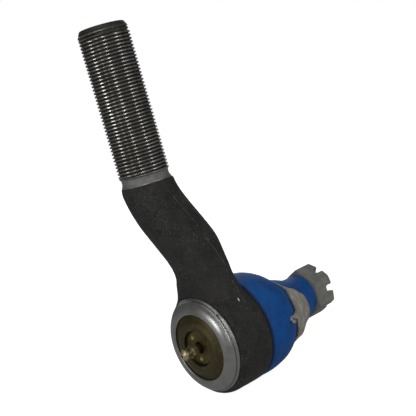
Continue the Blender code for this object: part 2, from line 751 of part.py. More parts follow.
def make_neck_ring(parts):
    """Flat ring that stiffens the boot's neck round the stud's taper."""
    low = NECK_SEAL_Y - NECK_RING_WIDTH / 2.0
    high = NECK_SEAL_Y + NECK_RING_WIDTH / 2.0
    inner = stud_radius(low) + GAP
    outer = stud_radius(NECK_SEAL_Y) + GAP + NECK_RING_THICKNESS
    profile = [(outer, high), (outer, low), (inner, low), (inner, high)]
    return turned("boot_neck_ring", profile, parts, "spring_steel", origin_y=BALL_Y)


def make_band(parts):
    """Wrapped band round the boot's neck, a thin sleeve that follows the neck's taper."""
    rows = 2
    outside = []
    inside = []
    for i in range(rows + 1):
        y = BAND_LOW_Y + BAND_WIDTH * i / rows
        inside.append((boot_outer(y) + GAP, y))
        outside.append((boot_outer(y) + GAP + BAND_THICKNESS, y))
    return turned("boot_band", list(reversed(outside)) + inside, parts, "tan_band", origin_y=BALL_Y)


# ------------------------------------------------------------------ grease fitting

def make_fitting(parts, cutters):
    """Fitting body: shank in the cover, hexagon, and a nipple with a checked mouth."""
    inner_y = RECESS_FLOOR_Y + COVER_THICKNESS + FINE_BREAK
    shank = FITTING_SHANK_RADIUS
    head = FITTING_HEAD_RADIUS
    neck = FITTING_NECK_RADIUS
    profile = [
        (0.0, inner_y),
        (shank - FINE_BREAK, inner_y),
        (shank, inner_y - FINE_BREAK),
        (shank, FITTING_HEAD_Y + FINE_BREAK),
        (neck + GAP, FITTING_HEAD_Y - FINE_BREAK),
        (neck, FITTING_HEAD_Y - FITTING_HEAD_LENGTH * 0.20),
        (neck + GAP, FITTING_HEAD_Y - FITTING_HEAD_LENGTH * 0.30),
        (head, FITTING_HEAD_Y - FITTING_HEAD_LENGTH * 0.48),
        (head, FITTING_HEAD_Y - FITTING_HEAD_LENGTH * 0.65),
        (head * 0.78, FITTING_TIP_Y + FITTING_HEAD_LENGTH * 0.16),
        (head * 0.50, FITTING_TIP_Y),
        (0.0, FITTING_TIP_Y),
    ]
    body = turned("grease_fitting", profile, parts, "fitting_brass", steps=SMALL_STEPS)
    corner = FITTING_HEX / 2.0 / math.cos(math.pi / 6.0)
    hexagon = cylinder_between("fitting_hexagon", (BALL_X, FITTING_HEX_Y, BALL_Z),
                               (BALL_X, FITTING_HEAD_Y, BALL_Z), corner, cutters, 6)
    chamber = FITTING_CHAMBER_RADIUS
    drilled = chamber * 0.64
    mouth = FITTING_BALL_RADIUS * 0.72
    chamber_end_y = FITTING_HEX_Y - FITTING_SEAT_DEPTH
    passage = [
        (0.0, inner_y + OVERCUT),
        (drilled, inner_y + OVERCUT),
        (drilled, chamber_end_y + EDGE_BREAK),
        (chamber, chamber_end_y),
        (chamber, FITTING_BALL_Y - GAP),
        (mouth, FITTING_BALL_Y - FITTING_BALL_RADIUS - GAP),
        (mouth, FITTING_TIP_Y - OVERCUT),
        (0.0, FITTING_TIP_Y - OVERCUT),
    ]
    bored = turned("fitting_passage", passage, cutters, steps=SMALL_STEPS)
    boolean(body, hide_as_cutter(hexagon), "UNION")
    boolean(body, hide_as_cutter(bored), "DIFFERENCE")
    return body


def make_fitting_ball(parts):
    """Check ball just inside the nipple's mouth."""
    profile = arc(FITTING_BALL_RADIUS, FITTING_BALL_Y, 0.0, math.pi, 6)
    profile[0] = (0.0, profile[0][1])
    profile[-1] = (0.0, profile[-1][1])
    return turned("fitting_ball", profile, parts, "hardened_steel", FITTING_BALL_Y, 12)


def make_fitting_spring(parts):
    """Fine coil that holds the check ball against the mouth."""
    start_y = FITTING_BALL_Y + FITTING_BALL_RADIUS + FITTING_BALL_TRAVEL + GAP
    end_y = FITTING_HEX_Y - FITTING_SEAT_DEPTH - GAP
    radius = FITTING_CHAMBER_RADIUS - GAP - FITTING_SPRING_WIRE
    points = helix(radius, start_y, end_y, FITTING_SPRING_TURNS)
    return wire("fitting_spring", points, FITTING_SPRING_WIRE, parts, "spring_steel", 1)


def build():
    """Model every piece, then shade the turned and cut ones."""
    clear_scene()
    parts = new_collection("tie_rod_end")
    cutters = new_collection("cutters")
    made = [
        make_socket_body(parts, cutters),
        make_upper_seat(parts),
        make_pressure_seat(parts),
        make_cover(parts),
        make_ball_stud(parts, cutters),
        make_nut(parts, cutters),
        make_boot(parts),
        make_base_ring(parts),
        make_neck_ring(parts),
        make_band(parts),
        make_fitting(parts, cutters),
        make_fitting_ball(parts),
    ]
    make_seat_spring(parts)
    make_fitting_spring(parts)
    for item in made:
        shade(item)


build()
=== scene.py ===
"""Looks of a cranked, forged tie rod end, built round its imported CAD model.

The stem stands along Z with its free end at the origin, and the ball stud lies along Y.
All lengths are metres. Each sub-assembly is a class with its own sizes and finishes.
"""

from __future__ import annotations

import logging
import math
from dataclasses import dataclass, field
from enum import Enum
from typing import Callable, Optional, Sequence, Union

import bmesh
import bpy
import numpy as np
from mathutils import Matrix, Vector, noise


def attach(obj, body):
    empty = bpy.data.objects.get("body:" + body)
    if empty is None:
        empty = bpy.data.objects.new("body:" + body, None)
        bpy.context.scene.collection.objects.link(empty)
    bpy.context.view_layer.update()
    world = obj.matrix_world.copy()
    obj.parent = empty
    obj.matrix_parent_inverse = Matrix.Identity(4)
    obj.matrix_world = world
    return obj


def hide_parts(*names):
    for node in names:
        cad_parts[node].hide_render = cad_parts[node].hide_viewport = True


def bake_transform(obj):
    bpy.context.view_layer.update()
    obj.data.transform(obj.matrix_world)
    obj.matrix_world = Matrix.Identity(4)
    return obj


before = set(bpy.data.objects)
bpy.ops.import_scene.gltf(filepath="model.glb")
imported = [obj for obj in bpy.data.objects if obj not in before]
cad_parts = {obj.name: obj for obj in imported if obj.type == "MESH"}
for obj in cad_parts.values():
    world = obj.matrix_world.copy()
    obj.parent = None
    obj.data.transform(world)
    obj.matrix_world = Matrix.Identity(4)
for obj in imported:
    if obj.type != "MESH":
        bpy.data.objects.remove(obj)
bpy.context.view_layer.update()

LOG = logging.getLogger("tie_rod_end")

Colour = tuple[float, float, float]
Outline = list[tuple[float, float]]

BALL = (0.0330, -0.0006, -0.1963)
DIMPLES = ((0.0071, 2.086), (0.0069, -1.658))
MERGE = 0.00001


class Axis(Enum):
    """The two lines that the turned pieces are turned about."""

    STEM = "stem"
    STUD = "stud"


# ------------------------------------------------------------------ node trees


class Value:
    """A node's output socket that takes part in Python arithmetic through Math nodes."""

    def __init__(self, tree: "Tree", socket: bpy.types.NodeSocket) -> None:
        """Keep the socket and the tree that it belongs to."""
        self.tree = tree
        self.socket = socket

    def out(self, name: Union[str, int]) -> "Value":
        """Another output of the same node."""
        return Value(self.tree, self.socket.node.outputs[name])

    def math(self, operation: str, other: "Number" = None, clamp: bool = False) -> "Value":
        """One Math node on this value.

        Args:
            operation: the Math node's operation.
            other: the second operand, if the operation has one.
            clamp: whether the result is held between 0 and 1.

        Returns:
            The node's result.
        """
        sockets = {0: self} if other is None else {0: self, 1: other}
        return self.tree.node("ShaderNodeMath", {"operation": operation, "use_clamp": clamp}, sockets)

    def _reflected(self, operation: str, other: float) -> "Value":
        """A Math node with a plain number as its first operand."""
        return self.tree.node("ShaderNodeMath", {"operation": operation}, {0: other, 1: self})

    def __add__(self, other: "Number") -> "Value":
        """Sum."""
        return self.math("ADD", other)

    def __radd__(self, other: float) -> "Value":
        """Sum with a plain number first."""
        return self.math("ADD", other)

    def __sub__(self, other: "Number") -> "Value":
        """Difference."""
        return self.math("SUBTRACT", other)

    def __rsub__(self, other: float) -> "Value":
        """A plain number less this value."""
        return self._reflected("SUBTRACT", other)

    def __mul__(self, other: "Number") -> "Value":
        """Product."""
        return self.math("MULTIPLY", other)

    def __rmul__(self, other: float) -> "Value":
        """Product with a plain number first."""
        return self.math("MULTIPLY", other)

    def __truediv__(self, other: "Number") -> "Value":
        """Quotient."""
        return self.math("DIVIDE", other)

    def __rtruediv__(self, other: float) -> "Value":
        """A plain number over this value."""
        return self._reflected("DIVIDE", other)

    def __neg__(self) -> "Value":
        """The value with its sign turned."""
        return self.math("MULTIPLY", -1.0)


Number = Union[Value, float, None]


class Tree:
    """A node tree with one method for every kind of node."""

    def __init__(self, tree: bpy.types.NodeTree) -> None:
        """Wrap the tree."""
        self.tree = tree

    def node(self, kind: str, settings: Optional[dict] = None, sockets: Optional[dict] = None,
             out: Union[int, str] = 0) -> Value:
        """Add a node, set it up and feed its sockets.

        Args:
            kind: the node's type name.
            settings: properties set first; "stops" gives a colour ramp's stops.
            sockets: values or Value links by socket name or index.
            out: the output to return.

        Returns:
            The chosen output.
        """
        made = self.tree.nodes.new(kind)
        for name, setting in (settings or {}).items():
            if name == "stops":
                self._set_stops(made.color_ramp, setting)
            else:
                setattr(made, name, setting)
        for key, value in (sockets or {}).items():
            self.feed(made.inputs[key], value)
        return Value(self, made.outputs[out])

    @staticmethod
    def _set_stops(ramp: bpy.types.ColorRamp, stops: Sequence[tuple[float, Colour]]) -> None:
        """Give a colour ramp its stops."""
        while len(ramp.elements) < len(stops):
            ramp.elements.new(0.5)
        for element, (place, colour) in zip(ramp.elements, stops):
            element.position = place
            element.color = (*colour, 1.0)

    def feed(self, socket: bpy.types.NodeSocket, value: object) -> None:
        """Link a Value to a socket, or set a plain value on it."""
        if isinstance(value, Value):
            self.tree.links.new(value.socket, socket)
        elif isinstance(value, tuple) and len(value) == 3 and socket.type == "RGBA":
            socket.default_value = (*value, 1.0)
        else:
            socket.default_value = value


class Paint(Tree):
    """A material's node tree, with the patterns that the finishes share."""

    def __init__(self, material: bpy.types.Material) -> None:
        """Open the material's tree and find its shader."""
        material.use_nodes = True
        super().__init__(material.node_tree)
        self.shader = material.node_tree.nodes["Principled BSDF"]
        self._place: Optional[Value] = None

    @property
    def place(self) -> Value:
        """Object coordinates, in metres in the model's frame."""
        if self._place is None:
            self._place = self.node("ShaderNodeTexCoord", out="Object")
        return self._place

    def axes(self) -> tuple[Value, Value, Value]:
        """The x, y and z coordinates as separate values."""
        split = self.node("ShaderNodeSeparateXYZ", sockets={0: self.place})
        return split, split.out(1), split.out(2)

    def noise(self, grain: float, detail: float = 3.0, rough: float = 0.55,
              at: Optional[Value] = None) -> Value:
        """Cloudy noise.

        Args:
            grain: the size of its cells in metres.
            detail: how many finer layers it has.
            rough: how strong the finer layers are.
            at: the coordinates that it reads, or the object's own.

        Returns:
            A value about 0.5.
        """
        return self.node("ShaderNodeTexNoise", sockets={
            "Vector": at or self.place, "Scale": 1.0 / grain, "Detail": detail, "Roughness": rough})

    def stretched(self, scale: tuple[float, float, float], turn: Colour = (0.0, 0.0, 0.0)) -> Value:
        """The coordinates turned and scaled, for patterns with a direction."""
        return self.node("ShaderNodeMapping", sockets={"Vector": self.place, "Scale": scale,
                                                       "Rotation": turn})

    def step(self, value: Value, low: float, high: float, start: float = 0.0,
             end: float = 1.0) -> Value:
        """A smooth step of value from start at low to end at high."""
        return self.node("ShaderNodeMapRange", {"interpolation_type": "SMOOTHSTEP"}, {
            "Value": value, "From Min": low, "From Max": high, "To Min": start, "To Max": end})

    def mix(self, share: Number, first: object, second: object) -> Value:
        """A colour between two others."""
        return self.node("ShaderNodeMix", {"data_type": "RGBA"}, {0: share, 6: first, 7: second}, 2)

    def away_from_stud(self) -> Value:
        """Distance from the stud's axis."""
        x, _, z = self.axes()
        across, up = x - BALL[0], z - BALL[2]
        return (across * across + up * up).math("SQRT")

    def away_from_stem(self) -> Value:
        """Distance from the stem's axis."""
        x, y, _ = self.axes()
        return (x * x + y * y).math("SQRT")

    def away_from(self, point: Colour, stretch: Colour = (1.0, 1.0, 1.0)) -> Value:
        """Distance from a point, with each axis scaled first."""
        x, y, z = self.axes()
        a, b, c = ((v - p) * s for v, p, s in zip((x, y, z), point, stretch))
        return (a * a + b * b + c * c).math("SQRT")

    def bump(self, height: Value, depth: float, under: Optional[Value] = None) -> Value:
        """A bump in metres, laid over another."""
        sockets = {"Height": height, "Distance": depth, "Strength": 1.0}
        if under is not None:
            sockets["Normal"] = under
        return self.node("ShaderNodeBump", sockets=sockets)

    def finish(self, colour: object, roughness: object, metallic: object = 0.0,
               normal: Optional[Value] = None, **constants: float) -> None:
        """Feed the shader.

        Args:
            colour: base colour or a link.
            roughness: number or link.
            metallic: number or link.
            normal: a bump's link.
            **constants: other sockets, with spaces written as underscores.
        """
        self.feed(self.shader.inputs["Base Color"], colour)
        self.feed(self.shader.inputs["Roughness"], roughness)
        self.feed(self.shader.inputs["Metallic"], metallic)
        if normal is not None:
            self.feed(self.shader.inputs["Normal"], normal)
        for name, value in constants.items():
            self.shader.inputs[name.replace("_", " ")].default_value = value


# ------------------------------------------------------------------ finishes


@dataclass(frozen=True)
class Finish:
    """A finish with a name; its material is made once."""

    name: str

    def material(self) -> bpy.types.Material:
        """The finish's material."""
        found = bpy.data.materials.get(self.name)
        if found is None:
            found = bpy.data.materials.new(self.name)
            self.paint(Paint(found))
        return found

    def paint(self, p: Paint) -> None:
        """Build the material's nodes."""
        raise NotImplementedError


@dataclass(frozen=True)
class ForgedSkin(Finish):
    """Black as-forged skin: grain, scale patches, rubbed specks and a parting line."""

    dark: Colour = (0.014, 0.014, 0.013)
    light: Colour = (0.030, 0.030, 0.028)
    speck: Colour = (0.230, 0.225, 0.210)
    rust: Colour = (0.050, 0.036, 0.027)
    line_span: tuple[float, float] = (-0.101, -0.177)
    nick: Colour = (0.0580, -0.0035, -0.1733)

    def paint(self, p: Paint) -> None:
        """Grain and specks everywhere, and the forging's parting line on y = 0."""
        x, y, z = p.axes()
        patch = p.noise(0.011, 4.0, 0.6)
        grain = p.noise(0.0009, 3.0, 0.65)
        fine = p.noise(0.00055, 2.0, 0.5)
        specks = p.step(grain, 0.54, 0.66) * p.step(fine, 0.46, 0.58)
        rubbed = p.step(p.noise(0.018, 2.0, 0.5), 0.47, 0.64)
        colour = p.mix(p.step(patch, 0.33, 0.68), self.dark, self.light)
        colour = p.mix(p.step(p.noise(0.0035, 3.0, 0.6), 0.50, 0.72) * 0.55, colour, self.rust)
        colour = p.mix(specks * (0.24 + rubbed * 0.40), colour, self.speck)
        wander = (p.noise(0.014, 3.0, 0.6) - 0.5) * 0.0026
        off = (y + wander + 0.0002).math("ABSOLUTE")
        span = p.step(z, self.line_span[1], self.line_span[1] + 0.010)
        span = span * (1.0 - p.step(z, self.line_span[0] - 0.006, self.line_span[0]))
        broken = p.step(p.noise(0.0045, 2.0, 0.5), 0.34, 0.56)
        ridge = (1.0 - p.step(off, 0.00008, 0.00062)) * span
        crest = (1.0 - p.step(off, 0.00002, 0.00034)) * span * broken
        colour = p.mix(crest * 0.85, colour, (0.17, 0.165, 0.155))
        near = p.away_from(self.nick, (0.6, 1.7, 0.55)) + (fine - 0.5) * 0.0005
        nick = 1.0 - p.step(near, 0.00045, 0.00075)
        colour = p.mix(nick, colour, (0.75, 0.74, 0.72))
        rough = p.step(patch, 0.3, 0.7, 0.52, 0.72) - nick * 0.25
        pits = p.bump(p.noise(0.0016, 4.0, 0.65), 0.00045)
        swell = p.bump(p.noise(0.009, 2.0, 0.5), 0.0010, pits)
        raised = p.bump(ridge - nick * 0.6, 0.00055, swell)
        p.finish(colour, rough, nick * 0.3, raised, Specular_IOR_Level=0.26)


@dataclass(frozen=True)
class CutThread(Finish):
    """Oily cut thread: brighter crests over roots darkened with painted shade and a slight brown oil
    tint.
    """

    axis: Axis = Axis.STEM
    crest: float = 0.015875
    depth: float = 0.00125
    bare: Optional[tuple[float, float]] = None
    steel: Colour = (0.300, 0.295, 0.275)
    # root is painted shade in the thread's roots, slightly brown from oil
    root: Colour = (0.052, 0.049, 0.042)

    def paint(self, p: Paint) -> None:
        """Painted shade where the thread is deep, brighter on its crests and on any bare band."""
        stem = self.axis is Axis.STEM
        _, y, z = p.axes()
        radius = p.away_from_stem() if stem else p.away_from_stud()
        along = z if stem else y
        clear_of_root_shade = p.step(radius, self.crest - self.depth * 0.5, self.crest - self.depth * 0.06)
        oil = p.noise(0.009, 4.0, 0.6)
        fine = p.noise(0.0007, 3.0, 0.6)
        metal = p.mix(p.step(oil, 0.36, 0.66), self.steel, (0.190, 0.182, 0.162))
        metal = p.mix(p.step(p.noise(0.006, 3.0, 0.5), 0.55, 0.72) * 0.5, metal, (0.12, 0.085, 0.058))
        colour = p.mix(clear_of_root_shade * 0.92 + 0.04, self.root, metal)
        rough = p.step(fine, 0.3, 0.7, 0.19, 0.25) + (1.0 - clear_of_root_shade) * 0.30
        if self.bare is not None:
            band = p.step(along, self.bare[1] - 0.0002, self.bare[1] + 0.0002)
            band = band * (1.0 - p.step(along, self.bare[0] - 0.0002, self.bare[0] + 0.0004))
            clean = p.mix(p.step(p.noise(0.004, 3.0, 0.6), 0.42, 0.70) * 0.5,
                          (0.25, 0.248, 0.240), (0.15, 0.135, 0.11))
            colour = p.mix(band, colour, clean)
            rough = rough + band * 0.12
        p.finish(colour, rough, 0.72, p.bump(fine, 0.00001))


@dataclass(frozen=True)
class TurnedSteel(Finish):
    """Machined grey steel with fine turning lines about the stud."""

    steel: Colour = (0.330, 0.330, 0.320)
    stain: Colour = (0.230, 0.226, 0.212)
    gloss: float = 0.30

    def paint(self, p: Paint) -> None:
        """Rings by radius, cloudy stains and a few small pits."""
        radius = p.away_from_stud()
        rings = p.node("ShaderNodeTexNoise", {"noise_dimensions": "1D"}, {
            "W": radius * 5200.0, "Scale": 1.0, "Detail": 2.0, "Roughness": 0.6})
        cloud = p.noise(0.010, 4.0, 0.6)
        fine = p.noise(0.0008, 3.0, 0.6)
        colour = p.mix(p.step(cloud, 0.42, 0.72) * 0.7, self.steel, self.stain)
        colour = p.mix(p.step(fine, 0.60, 0.75) * 0.35, colour, (0.075, 0.070, 0.062))
        pits = p.node("ShaderNodeTexVoronoi", sockets={"Vector": p.place, "Scale": 1.0 / 0.011})
        pit = 1.0 - p.step(pits, 0.035, 0.060)
        colour = p.mix(pit * 0.85, colour, (0.02, 0.018, 0.016))
        rough = p.step(rings, 0.3, 0.7, self.gloss - 0.06, self.gloss + 0.06) + pit * 0.3
        p.finish(colour, rough, 0.86, p.bump(rings, 0.000006))


@dataclass(frozen=True)
class AgedZinc(Finish):
    """Old yellow-passivated zinc on pressed steel: olive with brown and gold patches."""

    olive: Colour = (0.062, 0.062, 0.028)
    brown: Colour = (0.078, 0.054, 0.022)
    gold: Colour = (0.200, 0.150, 0.040)
    recess: float = 0.0104

    def paint(self, p: Paint) -> None:
        """Patches, with more gold in the sunk centre, painted shade at its edge and at the outer rim,
        and painted highlights on a thin ring and round the dimples.
        """
        radius = p.away_from_stud()
        patch = p.noise(0.0028, 4.0, 0.62)
        blot = p.noise(0.0016, 3.0, 0.6)
        colour = p.mix(p.step(patch, 0.40, 0.62), self.olive, self.brown)
        colour = p.mix(p.step(blot, 0.54, 0.70) * 0.55, colour, self.gold)
        inside = 1.0 - p.step(radius, self.recess - 0.0010, self.recess - 0.0002)
        colour = p.mix(inside * 0.45, colour, (0.120, 0.100, 0.030))
        # Painted shade: a dark ring where the sunk centre's wall stands.
        edge = 1.0 - p.step((radius - self.recess).math("ABSOLUTE"), 0.0002, 0.0009)
        colour = p.mix(edge * 0.75, colour, (0.020, 0.017, 0.010))
        # Painted highlight: a thin gold ring standing in for a lit disc edge in the sunk centre.
        painted_disc_highlight = 1.0 - p.step((radius - 0.0092).math("ABSOLUTE"), 0.0001, 0.0005)
        colour = p.mix(painted_disc_highlight * 0.5, colour, self.gold)
        # Painted highlight: bright gold round each dimple.
        for far, angle in DIMPLES:
            spot = (BALL[0] + far * math.cos(angle), -0.0214, BALL[2] + far * math.sin(angle))
            near = 1.0 - p.step(p.away_from(spot), 0.0010, 0.0019)
            colour = p.mix(near * 0.8, colour, (0.42, 0.33, 0.08))
        # Painted shade on the cover's outer edge, next to the rolled lip.
        rim = p.step(radius, 0.0190, 0.0201)
        colour = p.mix(rim * 0.7, colour, (0.026, 0.022, 0.014))
        rough = p.step(blot, 0.3, 0.7, 0.38, 0.54)
        p.finish(colour, rough, 0.80, p.bump(p.noise(0.0011, 3.0, 0.6), 0.00012))


@dataclass(frozen=True)
class DullBrass(Finish):
    """Gold-tinted plated fitting with grime specks, and painted shade in its neck, behind its hexagon
    and in its tip's hole.
    """

    plate: Colour = (0.46, 0.38, 0.19)
    pale: Colour = (0.48, 0.42, 0.27)
    grime_and_shade: Colour = (0.060, 0.045, 0.020)

    def paint(self, p: Paint) -> None:
        """Paler towards the tip, with grime specks, small pits and painted shade in its hollows."""
        _, y, _ = p.axes()
        spots = p.noise(0.0011, 3.0, 0.6)
        colour = p.mix(1.0 - p.step(y, -0.0345, -0.0315), self.plate, self.pale)
        colour = p.mix(p.step(spots, 0.58, 0.74) * 0.35, colour, self.grime_and_shade)
        # Painted shade in the narrow neck between head and hexagon.
        neck_groove_shade = 1.0 - p.step((y + 0.0296).math("ABSOLUTE"), 0.0004, 0.0011)
        colour = p.mix(neck_groove_shade * 0.8, colour, self.grime_and_shade)
        # Painted shadow: the shank between the hexagon and the cover is made dark.
        colour = p.mix(p.step(y, -0.0249, -0.0244) * 0.94, colour, self.grime_and_shade)
        # Painted shade: the tip's hole and its rim are made near black.
        hole = 1.0 - p.step(p.away_from_stud(), 0.0006, 0.0010)
        colour = p.mix(hole * (1.0 - p.step(y, -0.0340, -0.0330)), colour, (0.008, 0.007, 0.005))
        rough = p.step(spots, 0.3, 0.7, 0.26, 0.38)
        p.finish(colour, rough, 0.85, p.bump(p.noise(0.0008, 2.0, 0.5), 0.00003))


@dataclass(frozen=True)
class BlueRubber(Finish):
    """Moulded blue rubber with dust and painted top light on its upper side, and painted shade at its
    foot and underside.
    """

    blue: Colour = (0.002, 0.088, 0.345)
    deep: Colour = (0.002, 0.063, 0.255)
    dust_and_top_light: Colour = (0.060, 0.130, 0.240)

    def paint(self, p: Paint) -> None:
        """Soft cloudy tone, dusty rubs along the ridge of the bell with painted top light on its upper
        side, painted shade at its foot and underside, dark specks.
        """
        _, y, z = p.axes()
        cloud = p.noise(0.013, 4.0, 0.6)
        rub = p.noise(0.0050, 4.0, 0.7, p.stretched((1.0, 2.4, 1.0)))
        colour = p.mix(p.step(cloud, 0.35, 0.68), self.blue, self.deep)
        # Partly dust, partly painted light: the upper side of the bell is paler.
        high = p.step(z, BALL[2] + 0.004, BALL[2] + 0.031)
        colour = p.mix(high * p.step(rub, 0.40, 0.72) * 0.55 + p.step(rub, 0.60, 0.80) * 0.12,
                       colour, self.dust_and_top_light)
        neck = p.step(y, 0.036, 0.041) * p.step(rub, 0.48, 0.70)
        colour = p.mix(neck * 0.28, colour, (0.11, 0.15, 0.22))
        # Painted shade at the foot against the housing and on the bell's underside.
        foot = 1.0 - p.step(y, 0.0086, 0.0104)
        low = 1.0 - p.step(z, BALL[2] - 0.031, BALL[2] - 0.024)
        colour = p.mix(foot * 0.8 + low * p.step(rub, 0.45, 0.7) * 0.35, colour, (0.012, 0.016, 0.026))
        spots = p.step(p.noise(0.0021, 1.0, 0.3), 0.735, 0.775)
        colour = p.mix(spots * 0.85, colour, (0.010, 0.012, 0.020))
        rough = p.step(rub, 0.3, 0.7, 0.50, 0.68)
        skin = p.bump(p.noise(0.0009, 3.0, 0.6), 0.00010)
        p.finish(colour, rough, 0.0, p.bump(cloud, 0.0006, skin), Specular_IOR_Level=0.22)


@dataclass(frozen=True)
class GreyNut(Finish):
    """Phosphated grey nut, rubbed a little brighter in patches."""

    grey: Colour = (0.195, 0.196, 0.178)
    pale: Colour = (0.250, 0.252, 0.232)

    def paint(self, p: Paint) -> None:
        """Cloudy grey with small brown stains and dark specks."""
        cloud = p.noise(0.0055, 4.0, 0.6)
        fine = p.noise(0.0007, 3.0, 0.65)
        colour = p.mix(p.step(cloud, 0.36, 0.66), self.grey, self.pale)
        colour = p.mix(p.step(p.noise(0.0030, 2.0, 0.6), 0.60, 0.76) * 0.4, colour, (0.12, 0.095, 0.07))
        colour = p.mix(p.step(fine, 0.62, 0.78) * 0.45, colour, (0.06, 0.058, 0.052))
        rough = p.step(fine, 0.3, 0.7, 0.52, 0.66)
        p.finish(colour, rough, 0.20, p.bump(fine, 0.00005), Specular_IOR_Level=0.3)


@dataclass(frozen=True)
class TanWrap(Finish):
    """Crumpled tan wrap with golden edges, painted light on its raised folds and painted shade in its
    creases.
    """

    tan: Colour = (0.285, 0.268, 0.220)
    pale: Colour = (0.420, 0.405, 0.355)
    gold: Colour = (0.200, 0.130, 0.045)

    def paint(self, p: Paint) -> None:
        """Folds run along the wrap, and its edges are browner."""
        folds = p.noise(0.0032, 4.0, 0.65, p.stretched((1.0, 1.6, 0.45), (0.5, 0.0, 0.0)))
        fine = p.noise(0.0009, 3.0, 0.6)
        # Painted light: the wrap is paler where its folds stand up.
        colour = p.mix(p.step(folds, 0.36, 0.66), self.tan, self.pale)
        edge = p.node("ShaderNodeAttribute", {"attribute_name": "edge"}, out="Fac")
        colour = p.mix(edge * p.step(fine, 0.30, 0.60) * 0.7, colour, self.gold)
        # Painted shade along the creases.
        crease_shade = 1.0 - p.step((folds - 0.47).math("ABSOLUTE"), 0.004, 0.020)
        colour = p.mix(crease_shade * 0.55, colour, (0.085, 0.070, 0.045))
        under = p.bump(folds, 0.0009)
        p.finish(colour, p.step(fine, 0.3, 0.7, 0.58, 0.76), 0.0, p.bump(fine, 0.00012, under))


@dataclass(frozen=True)
class PlainMetal(Finish):
    """Ground, drawn or polished steel of the pieces inside the joint."""

    steel: Colour = (0.45, 0.44, 0.43)
    gloss: float = 0.24
    grain: float = 0.0009

    def paint(self, p: Paint) -> None:
        """Fine grinding marks and a thin grease film."""
        fine = p.noise(self.grain, 3.0, 0.6, p.stretched((1.0, 0.25, 1.0)))
        film = p.noise(0.007, 3.0, 0.6)
        shade = tuple(c * 0.62 for c in self.steel)
        colour = p.mix(p.step(film, 0.40, 0.70), self.steel, shade)
        rough = p.step(fine, 0.3, 0.7, self.gloss - 0.05, self.gloss + 0.10)
        p.finish(colour, rough, 1.0, p.bump(fine, 0.00002))


@dataclass(frozen=True)
class SeatPolymer(Finish):
    """Moulded bearing polymer, ivory with grease stains."""

    ivory: Colour = (0.60, 0.57, 0.50)

    def paint(self, p: Paint) -> None:
        """Soft mottling under a grease film."""
        film = p.noise(0.006, 3.0, 0.6)
        colour = p.mix(p.step(film, 0.42, 0.70) * 0.6, self.ivory, (0.33, 0.28, 0.19))
        p.finish(colour, p.step(film, 0.3, 0.7, 0.34, 0.52), 0.0,
                 p.bump(p.noise(0.0010, 2.0, 0.5), 0.00005))


# ------------------------------------------------------------------ mesh helpers


def rounded(points: Outline, size: float, count: int = 4, keep: Sequence[int] = ()) -> Outline:
    """Round an open outline's corners.

    Args:
        points: the outline.
        size: how far along each side a corner's curve starts.
        count: points on each curve, less one.
        keep: corners that stay sharp.

    Returns:
        The rounded outline.
    """
    made = [points[0]]
    for i in range(1, len(points) - 1):
        if i in keep:
            made.append(points[i])
            continue
        before, here, after = (Vector((*points[j], 0.0)) for j in (i - 1, i, i + 1))
        first, second = before - here, after - here
        start = here + first.normalized() * min(size, first.length * 0.45)
        end = here + second.normalized() * min(size, second.length * 0.45)
        for k in range(count + 1):
            t = k / count
            point = start * (1 - t) ** 2 + here * (2 * t * (1 - t)) + end * t ** 2
            made.append((point.x, point.y))
    made.append(points[-1])
    return made


def smooth_curve(points: Outline, count: int) -> Outline:
    """Points on a smooth curve through the given ones, count for each span."""
    padded = [points[0], *points, points[-1]]
    made = []
    for a, b, c, d in zip(padded[:-3], padded[1:-2], padded[2:-1], padded[3:]):
        for k in range(count):
            t = k / count
            made.append(tuple(
                0.5 * (2 * q + (r - p) * t + (2 * p - 5 * q + 4 * r - s) * t ** 2
                       + (3 * q - p - 3 * r + s) * t ** 3)
                for p, q, r, s in zip(a, b, c, d)))
    made.append(points[-1])
    return made


def dense(points: Outline, spacing: float) -> Outline:
    """The outline with its long sides cut into pieces no longer than spacing."""
    made = [points[0]]
    for (r0, h0), (r1, h1) in zip(points[:-1], points[1:]):
        parts = max(1, math.ceil(math.hypot(r1 - r0, h1 - h0) / spacing))
        made += [(r0 + (r1 - r0) * k / parts, h0 + (h1 - h0) * k / parts)
                 for k in range(1, parts + 1)]
    return made


def new_object(name: str, mesh: bpy.types.Mesh) -> bpy.types.Object:
    """An object in the scene that holds the mesh."""
    item = bpy.data.objects.new(name, mesh)
    bpy.context.scene.collection.objects.link(item)
    return item


def outward(mesh: bpy.types.Mesh) -> None:
    """Merge a mesh's doubles and make its faces point outwards."""
    form = bmesh.new()
    form.from_mesh(mesh)
    bmesh.ops.remove_doubles(form, verts=form.verts, dist=MERGE * 0.2)
    bmesh.ops.recalc_face_normals(form, faces=form.faces)
    form.to_mesh(mesh)
    form.free()


def smooth(item: bpy.types.Object, degrees: float = 32.0) -> bpy.types.Object:
    """Shade smooth, with edges sharper than the angle kept sharp."""
    item.data.shade_smooth()
    item.data.set_sharp_from_angle(angle=math.radians(degrees))
    return item


Shaper = Callable[[np.ndarray, np.ndarray, np.ndarray], tuple[np.ndarray, np.ndarray]]


